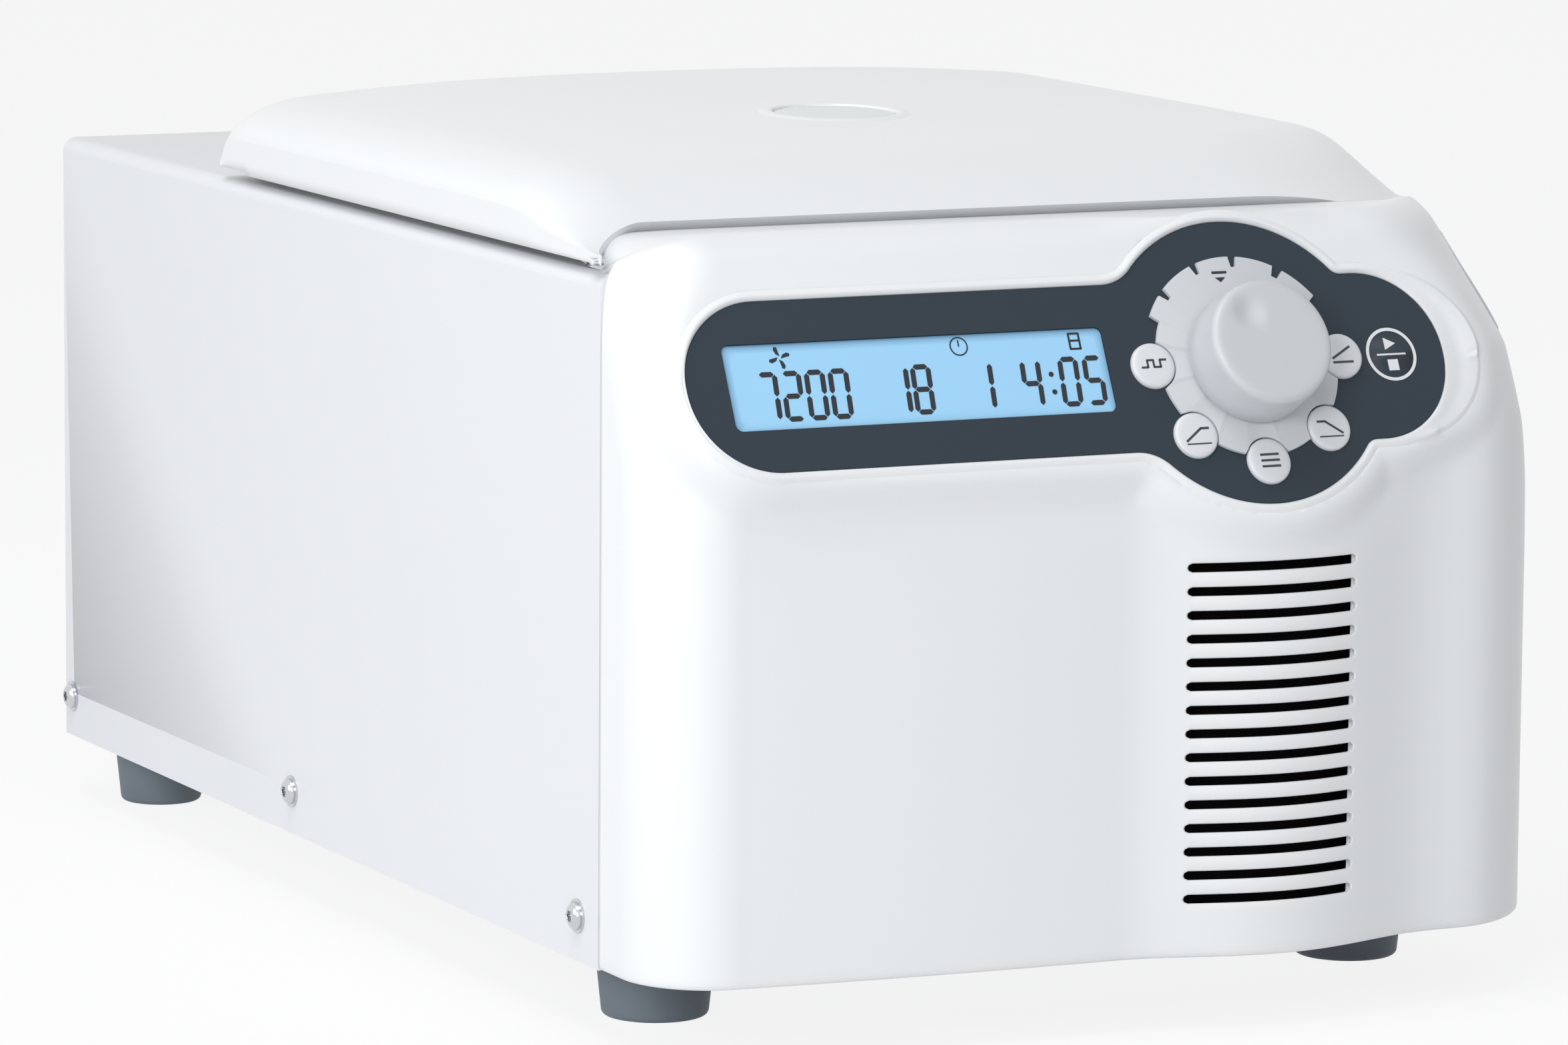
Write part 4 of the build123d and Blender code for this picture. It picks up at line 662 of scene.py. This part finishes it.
def digit(mark, left):
    """Seven-bar digit: each bar is a pointed six-sided shape between two corners of the digit."""
    shapes = []
    for bar in digit_bars[mark]:
        p, q = [np.array([left + x * digit_wide + digit_slant * y * digit_tall, digit_low + y * digit_tall])
                for x, y in bars[bar]]
        way = (q - p) / np.linalg.norm(q - p)
        side = np.array([-way[1], way[0]]) * digit_thick / 2
        p, q = p + way * bar_gap, q - way * bar_gap
        inset = way * digit_thick / 2
        shapes.append([p, p + inset - side, q - inset - side, q, q - inset + side, p + inset + side])
    return shapes


display_black = surface("display_black", (22, 28, 36), 0.5)
figures = []
for marks, left, pitch in [("7200", -174.3, 8.3), ("18", -128.4, 8.0), ("1", -98.6, 0), ("4", -81.4, 0),
                           ("0", -67.8, 0), ("5", -59.0, 0)]:
    for k, mark in enumerate(marks):
        figures += digit(mark, left + k * pitch)
figures += [arc_points(-70.9, v, 0.9, 0, 330, 12) for v in (-6.6, -0.6)]
for turn in np.radians([10, 100, 190, 280]):
    blade = np.array([(0.5, -0.3), (3.6, -0.2), (3.9, 0.6), (3.0, 1.2), (1.4, 0.8)])
    spin = np.array([[np.cos(turn), np.sin(turn)], [-np.sin(turn), np.cos(turn)]])
    figures.append(blade @ spin + (-165.0, 9.6))
figures += stroke(arc_points(-101.6, 10.4, 3.0, 0, 360, 25), 0.45)
figures += stroke([(-101.6, 10.4), (-101.6, 12.4)], 0.45)
figures += stroke([(-62.0, 7.6), (-58.4, 7.6), (-58.4, 12.8), (-62.0, 12.8), (-62.0, 7.6)], 0.7)
figures += stroke([(-61.6, 10.4), (-58.8, 10.4)], 0.7)
printed("display_figures", figures, -0.59, -0.5, "cabinet", display_black)


# Dial plate: a light grey moulded plate bonded to the film under the knob, with five raised marks round its
# upper edge and a round bay beside each key.
plate_round, mark_round, plate_hole, key_circle, bay_round = 32.5, 36.1, 9.0, 34.5, 8.1


def turned_disc(profile, centre=(0.0, 0.0), count=96):
    """A profile of (radius, height) points turned about the panel's normal at centre."""
    profile = np.array(profile, float)
    turn = np.linspace(0, 2 * np.pi, count, endpoint=False)
    radius, high = profile[:, :1], profile[:, 1:]
    return on_panel(centre[0] + radius * np.cos(turn), centre[1] + radius * np.sin(turn), high + 0 * turn)


plate_turn = np.radians(np.arange(0, 360, 1.0))
plate_r = np.full(len(plate_turn), plate_round)
plate_angle = np.degrees(plate_turn)
for first, last in [(36, 58), (63, 84), (89, 108), (113, 134), (139, 152)]:
    plate_r = np.where((plate_angle >= first) & (plate_angle <= last), mark_round, plate_r)
key_angles = [180, 225, 270, 315, 0]
for angle in np.radians(key_angles):
    apart = np.angle(np.exp(1j * (plate_turn - angle)))
    inside = bay_round ** 2 - (key_circle * np.sin(apart)) ** 2
    bay = key_circle * np.cos(apart) - np.sqrt(np.maximum(inside, 0))
    plate_r = np.where((inside > 0) & (np.abs(apart) < 0.5), np.minimum(plate_r, bay), plate_r)
plate_rows = []
for r, w in [(plate_hole, 0.0), (plate_r, 0.0), (plate_r, 0.95), (plate_r - 0.1, 1.18), (plate_r - 0.35, 1.3),
             (plate_hole, 1.3)]:
    plate_rows.append(on_panel(r * np.cos(plate_turn), r * np.sin(plate_turn), np.full(len(plate_turn), w)))
plate_rows.append(plate_rows[0])
plate_grey = surface("dial_plate_grey", (206, 209, 213), 0.45, grain=1800.0, lift=0.03, tone=0.01)
skin("dial_plate_disc", [(np.array(plate_rows), None, True)], "cabinet", plate_grey,
     ["dial_plate"], turn_out=True, angle=35.0)
push_mark = stroke([(-6.2, 30.6), (-1.2, 30.6)], 0.9) + [[(-5.6, 28.9), (-1.8, 28.9), (-3.7, 27.2)]]
printed("push_mark", push_mark, 1.29, 1.36, "cabinet", film)

# Knob: a satin silver-grey moulding, hollow below, pressed on the encoder's shaft. A finger dimple is sunk in
# its face, above and left of the middle.
knob_rows = [(3.04, 2.3), (20.4, 2.3), (21.6, 2.5), (22.0, 3.0), (21.7, 10.0), (21.4, 17.2), (21.25, 18.6),
             (20.8, 19.6), (20.0, 20.25), (18.8, 20.5)]
knob_rows += [(r, 20.5) for r in (17, 15, 13, 11, 9, 7, 5, 3, 1.5, 0.02)]
knob_points = turned_disc(knob_rows, count=120)
turn = np.linspace(0, 2 * np.pi, 120, endpoint=False)
knob_r, knob_h = np.array(knob_rows)[:, :1], np.array(knob_rows)[:, 1:]
dimple_u, dimple_v, dimple_round, dimple_deep = -6.5, 10.0, 7.2, 1.9
from_dimple = np.hypot(knob_r * np.cos(turn) - dimple_u, knob_r * np.sin(turn) - dimple_v)
dip = dimple_deep * (1 - smooth_step(from_dimple / dimple_round)) * (knob_h > 19)
knob_points -= dip[..., None] * np.array([0, -lean_cos, lean_sin])
bore = turned_disc([(0.02, 14.5), (3.04, 14.5), (3.04, 2.3)], count=120)
knob_grey = surface("knob_grey", (203, 206, 210), 0.36, grain=1500.0, lift=0.04, tone=0.01)
skin("knob_moulding", [(bore, None, True), (knob_points, None, True)], "dial", knob_grey,
     ["dial_knob"], angle=45.0, merge=0.03, turn_out=True)

# Keys: five round light-grey plastic caps with a soft rim and a small printed sign, each pushed on the
# plunger of its own switch behind the film.
key_grey = surface("key_cap", (222, 224, 228), 0.38, grain=1600.0, lift=0.03, tone=0.01)
key_print = surface("key_print", (52, 60, 70), 0.5)
key_signs = {
    "pulse": stroke([(-4.6, -0.8), (-2.4, -0.8), (-2.4, 1.6), (-0.2, 1.6), (-0.2, -0.8), (2.2, -0.8),
                     (2.2, 1.6), (4.4, 1.6)], 0.75),
    "accelerate": (stroke([(-4.2, -2.2), (1.6, 2.0), (4.4, 2.0)], 0.8)
                   + stroke([(-4.2, -3.2), (4.4, -3.2)], 0.5)),
    "preset": [s for v in (2.0, 0.0, -2.0) for s in stroke([(-3.2, v), (3.2, v)], 0.8)],
    "brake": stroke([(-4.4, 2.0), (-1.6, 2.0), (4.2, -2.2)], 0.8) + stroke([(-4.4, -3.2), (4.2, -3.2)], 0.5),
    "lid": stroke([(-3.6, -2.4), (3.6, -2.4)], 0.8) + stroke([(-3.6, -1.0), (3.2, 2.8)], 0.8),
}
for angle, key in zip(key_angles, key_signs):
    centre = (key_circle * np.cos(radians(angle)), key_circle * np.sin(radians(angle)))
    cap = turned_disc([(0.02, -5.2), (7.7, -5.2), (7.7, 0.5), (7.6, 1.05), (7.25, 1.45), (6.7, 1.68),
                       (5.6, 1.8), (0.02, 1.8)], centre, 64)
    skin(key + "_cap", [(cap, None, True)], key + "_key", key_grey, [key + "_button"], merge=0.03,
         turn_out=True, angle=50.0)
    sign = [np.array(shape) + centre for shape in key_signs[key]]
    printed(key + "_sign", sign, 1.79, 1.84, key + "_key", key_print)

# Start and stop key: a flexing round of the same slate film over its switch, with a white ring and the two
# signs printed on it.
smooth_copy("start_stop_button", "start_stop", film)
print_white = surface("print_white", (228, 231, 234), 0.5, tone=0.01)
start_u = 53.8
ring_points = turned_disc([(8.1, 0.0), (8.1, 0.06), (9.2, 0.06), (9.2, 0.0), (8.1, 0.0)], (start_u, 0), 96)
skin("start_stop_ring", [(ring_points, None, True)], "start_stop", print_white, turn_out=True)
start_signs = [[(start_u - 1.9, 1.6), (start_u - 1.9, 5.8), (start_u + 2.3, 3.7)],
               [(start_u - 1.9, -5.6), (start_u + 1.9, -5.6), (start_u + 1.9, -1.8), (start_u - 1.9, -1.8)]]
start_signs += stroke([(start_u - 5.2, 0), (start_u + 5.2, 0)], 0.6)
printed("start_stop_signs", start_signs, 0.0, 0.06, "start_stop", print_white)

# Lid: a white moulding whose front slopes down to the hood and whose right front corner is well rounded. Its
# skirt stands just over the cover, it turns on two knuckles at the back, and a port is let into its top.
rotor_y, lid_front, lid_back, skirt_z, port_radius = -38.014, 25.5, 330.0, 251.0, 24.8
front_slope, corner_x, corner_round = np.tan(radians(22.0)), 80.0, 86.0
top_front, top_from, top_length, top_rise, crown_z, crown_drop = 276.0, 62.0, 268.0, 7.0, 283.0, 8.0
side_x, side_wide, side_drop, rear_t, rear_long, rear_drop, lip = 138.0, 28.0, 12.0, 314.0, 16.0, 14.0, 3.2


def corner_back(x):
    """How far back the right corner's arc of 86 begins at each x."""
    past = np.clip(x - corner_x, 0, corner_round)
    return corner_round - np.sqrt(np.maximum(corner_round ** 2 - past ** 2, 0))


def lid_height(x, t):
    """Lowest of slope, top and crown, blended; less rounded sides and rear; never under the skirt's lip."""
    slope = skirt_z + (t - corner_back(x)) * front_slope
    top = top_front + (t - top_from) / top_length * top_rise
    crown = crown_z - crown_drop * (x / half_width) ** 2
    height = soft_min(soft_min(slope, top, 9.0), crown, 3.0)
    side = np.clip((np.abs(x) - side_x) / side_wide, 0, 1)
    rear = np.clip((t - rear_t) / rear_long, 0, 1)
    full = np.clip((height - skirt_z - lip) / 16.0, 0, 1)
    side_fall = side_drop * full * (1 - np.sqrt(1 - side ** 2))
    height = height - side_fall - rear_drop * (1 - np.sqrt(1 - rear ** 2))
    return -soft_min(-height, -skirt_z - lip, 2.0)


side_turn = np.linspace(0, np.pi / 2, 12)
left_part = -side_x - side_wide * np.sin(side_turn[::-1])
across = np.concatenate([left_part[:-1], np.linspace(-side_x, corner_x, 92)])
left_front = np.clip((arch_top(across) + 1.5 - skirt_z) / front_slope, 0, lid_front)
cross_share = np.linspace(0, 1, 24)[1:]
lid_t = np.concatenate([np.linspace(0, 1, 44)[:-1] * 0.36, 0.36 + np.linspace(0, 1, 70) * 0.594,
                        0.954 + 0.046 * np.sin(np.linspace(0, np.pi / 2, 9)[1:])])
lid_rows = []
for share in lid_t:
    t = left_front + (lid_back - left_front) * share
    row_t = lid_front + (lid_back - lid_front) * share
    past = np.sqrt(corner_round ** 2 - max(corner_round - row_t, 0) ** 2)
    x = np.concatenate([across, corner_x + past * np.sin(cross_share * np.pi / 2)])
    t = np.concatenate([t, np.full(len(cross_share), row_t)])
    lid_rows.append(np.stack([x, t + seam_y, lid_height(x, t)], -1))
lid_grid = np.array(lid_rows)
in_port = np.hypot(lid_grid[..., 0], lid_grid[..., 1] - rotor_y) < port_radius - 1.5


def skirt(edge, low, steps=4, under=0.0):
    """A wall of points hung down from an edge to a lower height, drawn back by under on the way."""
    share = np.linspace(0, 1, steps)[:, None]
    down = edge[None].repeat(steps, 0).copy()
    down[..., 2] = edge[:, 2] + (np.minimum(low, edge[:, 2]) - edge[:, 2]) * share
    down[..., 1] += under * share
    return down


left_edge, right_edge = lid_grid[:, 0], lid_grid[:, -1]
hinge_y, hinge_lift = 92.0, 1.1
rear_low = np.where(left_edge[:, 1] > hinge_y, skirt_z + hinge_lift, skirt_z)
front_edge = lid_grid[0]
front_low = np.maximum(front_edge[:, 2] - 4.0, skirt_z)
front_under = 2.5 * smooth_step((gap_end - np.abs(front_edge[:, 0])) / gap_fade)
patches = [(lid_grid, ~cells(in_port, np.logical_and), False),
           (skirt(left_edge, rear_low)[::-1], None, False),
           (skirt(right_edge, rear_low), None, False),
           (skirt(front_edge, front_low, under=front_under), None, False),
           (skirt(lid_grid[-1], skirt_z + hinge_lift)[::-1], None, False)]
lid_white = surface("lid_moulding", (236, 238, 240), 0.32, grain=1300.0, lift=0.025, tone=0.004, coat=0.05)
lid = skin("lid_moulding", patches, "lid", lid_white, ["lid_shell"], merge=0.01, angle=50.0)
work = bmesh.new()
work.from_mesh(lid.data)
bmesh.ops.recalc_face_normals(work, faces=work.faces)
top_face = min(work.faces, key=lambda face: (face.calc_center_median() - Vector((0, 0.05, 0.28))).length)
if top_face.normal.z < 0:
    bmesh.ops.reverse_faces(work, faces=work.faces)
work.to_mesh(lid.data)
work.free()
give_wall(lid, 0.003)

# Sight port: a frosted clear disc, snapped into a moulded ring of the lid's own white plastic. It stands over
# the rotor's middle.


def lid_ring(radius, lift):
    """Points round the port on the lid's own height, raised by lift."""
    turn = np.linspace(0, 2 * np.pi, 120, endpoint=False)
    x, y = radius * np.cos(turn), rotor_y + radius * np.sin(turn)
    return np.stack([x, y, lid_height(x, y - seam_y) + lift], -1)


ring_section = [(21.4, -5.0), (21.4, 0.1), (21.7, 0.5), (22.3, 0.75), (24.4, 0.6), (25.6, 0.25),
                (26.6, -0.12), (26.4, -2.6), (22.6, -5.0), (21.4, -5.0)]
port_rim = np.array([lid_ring(radius, lift) for radius, lift in ring_section])
skin("port_ring", [(port_rim, None, True)], "lid", lid_white, turn_out=True)
disc_section = [(0.02, -4.6), (21.2, -4.6), (21.2, -0.5), (20.7, -0.15), (20.0, 0.0), (14.0, 0.1),
                (7.0, 0.12), (0.02, 0.12)]
port_face = np.array([lid_ring(radius, lift) for radius, lift in disc_section])
port_white = surface("port_frosted", (226, 232, 232), 0.4, grain=2000.0, lift=0.03, tone=0.01)
skin("port_disc", [(port_face, None, True)], "lid", port_white, ["sight_port"], turn_out=True,
     merge=0.03)

# Side screws: plated steel button heads with a six-lobed socket, each on a plain washer, threaded into the
# tray's sides. Bearings, hinge pins and the fan's wire guard have the same bright finish.
screw_turn = np.linspace(0, 2 * np.pi, 48, endpoint=False)
screw_profile = [(0.02, -5.3), (1.9, -5.3), (1.98, 0.0), (4.55, 0.0), (4.6, 0.35), (4.3, 1.15), (3.7, 1.75),
                 (2.9, 2.2), (2.1, 2.38), (1.85, 2.2), (1.75, 1.0), (0.02, 1.0)]
screw_patches = []
for side in (-1, 1):
    for along_y in (16.0, 262.6, 482.0):
        grid = []
        for radius, high in screw_profile:
            lobes = 1 + (0.13 * np.cos(6 * screw_turn) if radius < 2.2 and high > 0.5 else 0)
            r = radius * lobes
            grid.append(np.stack([np.full(len(screw_turn), side * (half_width + 0.8 + high)),
                                  seam_y + along_y + r * np.cos(screw_turn),
                                  39.0 + r * np.sin(screw_turn)], -1))
        screw_patches.append((np.array(grid), None, True))
plated = surface("plated_steel", (205, 207, 210), 0.16, grain=600.0, lift=0.02, tone=0.03, metal=1.0)
skin("side_screw_heads", screw_patches, "cabinet", plated, ["side_screws"], turn_out=True,
     merge=0.03, angle=35.0)
smooth_copy("screw_washers", "cabinet", plated)
for bright in ["motor_bearings", "hinge_pins", "rear_grille"]:
    smooth_copy(bright, "cabinet", plated)

# Feet, dampers and gasket: moulded grey rubber. The feet are tapered and screwed up into the tray, the
# dampers carry the motor and the compressor, and the gasket is pressed over the bowl's rim.
foot_rubber = surface("foot_rubber", (112, 122, 131), 0.62, grain=1100.0, lift=0.12, tone=0.05)
for soft_part in ["front_feet", "rear_feet", "vibration_dampers", "compressor_feet"]:
    smooth_copy(soft_part, "cabinet", foot_rubber)
seal_rubber = surface("seal_rubber", (84, 88, 92), 0.7, grain=900.0, lift=0.1, tone=0.05)
smooth_copy("bowl_gasket", "cabinet", seal_rubber)

# Chamber and lid linings: a drawn and brushed stainless bowl, rigid foam cast round it, and plain white
# mouldings above it; the latch's hooks and the shaft share the brushed finish.
brushed = surface("brushed_steel", (196, 198, 200), 0.3, grain=260.0, lift=0.08, spread=0.12, tone=0.04,
                  stretch=(1, 1, 14), metal=1.0)
smooth_copy("chamber_bowl", "cabinet", brushed)
smooth_copy("latch_hooks", "lid", brushed)
smooth_copy("drive_shaft", "rotor_unit", brushed)
foam_tan = surface("rigid_foam", (226, 214, 178), 0.85, grain=500.0, lift=0.5, tone=0.05)
smooth_copy("chamber_insulation", "cabinet", foam_tan)
inner_white = surface("inner_moulding", (226, 228, 231), 0.45, grain=1200.0, lift=0.04, tone=0.01)
smooth_copy("top_deck", "cabinet", inner_white)
smooth_copy("lid_liner", "lid", inner_white)

# Rotor, its lid and nut: turned aluminium, anodised grey, held on the motor's shaft by the nut. The dial's
# encoder shaft is turned and anodised too.
anodised = surface("anodised_grey", (138, 141, 147), 0.34, grain=420.0, lift=0.06, spread=0.1, tone=0.04,
                   stretch=(1, 1, 12), metal=0.9)
for turned_part in ["rotor", "rotor_lid", "rotor_nut"]:
    smooth_copy(turned_part, "rotor_unit", anodised)
smooth_copy("encoder_shaft", "dial_shaft", anodised)

# Motor, condenser, compressor and pipes: a cast alloy housing, a finned block, a pressed steel can in black
# enamel and brazed copper tube, all bolted to the tray.
cast = surface("cast_alloy", (150, 152, 155), 0.55, grain=700.0, lift=0.3, spread=0.15, tone=0.08, metal=0.85)
smooth_copy("motor_housing", "cabinet", cast)
smooth_copy("condenser_core", "cabinet", cast)
enamel = surface("black_enamel", (28, 28, 30), 0.3, grain=800.0, lift=0.06, tone=0.1, coat=0.2)
smooth_copy("compressor", "cabinet", enamel)
copper = surface("copper_tube", (196, 122, 88), 0.32, grain=500.0, spread=0.12, tone=0.1, metal=1.0)
smooth_copy("evaporator_coil", "cabinet", copper)
smooth_copy("filter_drier", "cabinet", copper)

# Boards: glass-fibre laminate with green solder resist over its copper, screwed to posts behind the fascia
# and on the tray; the display module's frame sits before them.
board_green = surface("solder_resist", (32, 92, 52), 0.38, grain=300.0, lift=0.1, tone=0.15, patches=300.0)
smooth_copy("control_board", "cabinet", board_green)
smooth_copy("power_board", "cabinet", board_green)
module_frame = surface("module_frame", (120, 150, 172), 0.4, tone=0.03)
smooth_copy("lcd_module", "cabinet", module_frame)

# Black mouldings: fan, its frame, the inlet, its fuse drawer, the rocker switch, the encoder's body, the key
# switches and the latch housing, of glass-filled plastic, snapped or screwed into the sheet.
black_moulding = surface("black_moulding", (30, 31, 33), 0.45, grain=1200.0, lift=0.12, tone=0.1)
for dark in ["fan_frame", "power_inlet", "switch_bezel", "key_switches", "encoder_body", "latch_housing"]:
    smooth_copy(dark, "cabinet", black_moulding)
smooth_copy("condenser_fan", "fan", black_moulding)
smooth_copy("fuse_drawer", "fuse_tray", black_moulding)
smooth_copy("power_rocker", "switch_rocker", black_moulding)
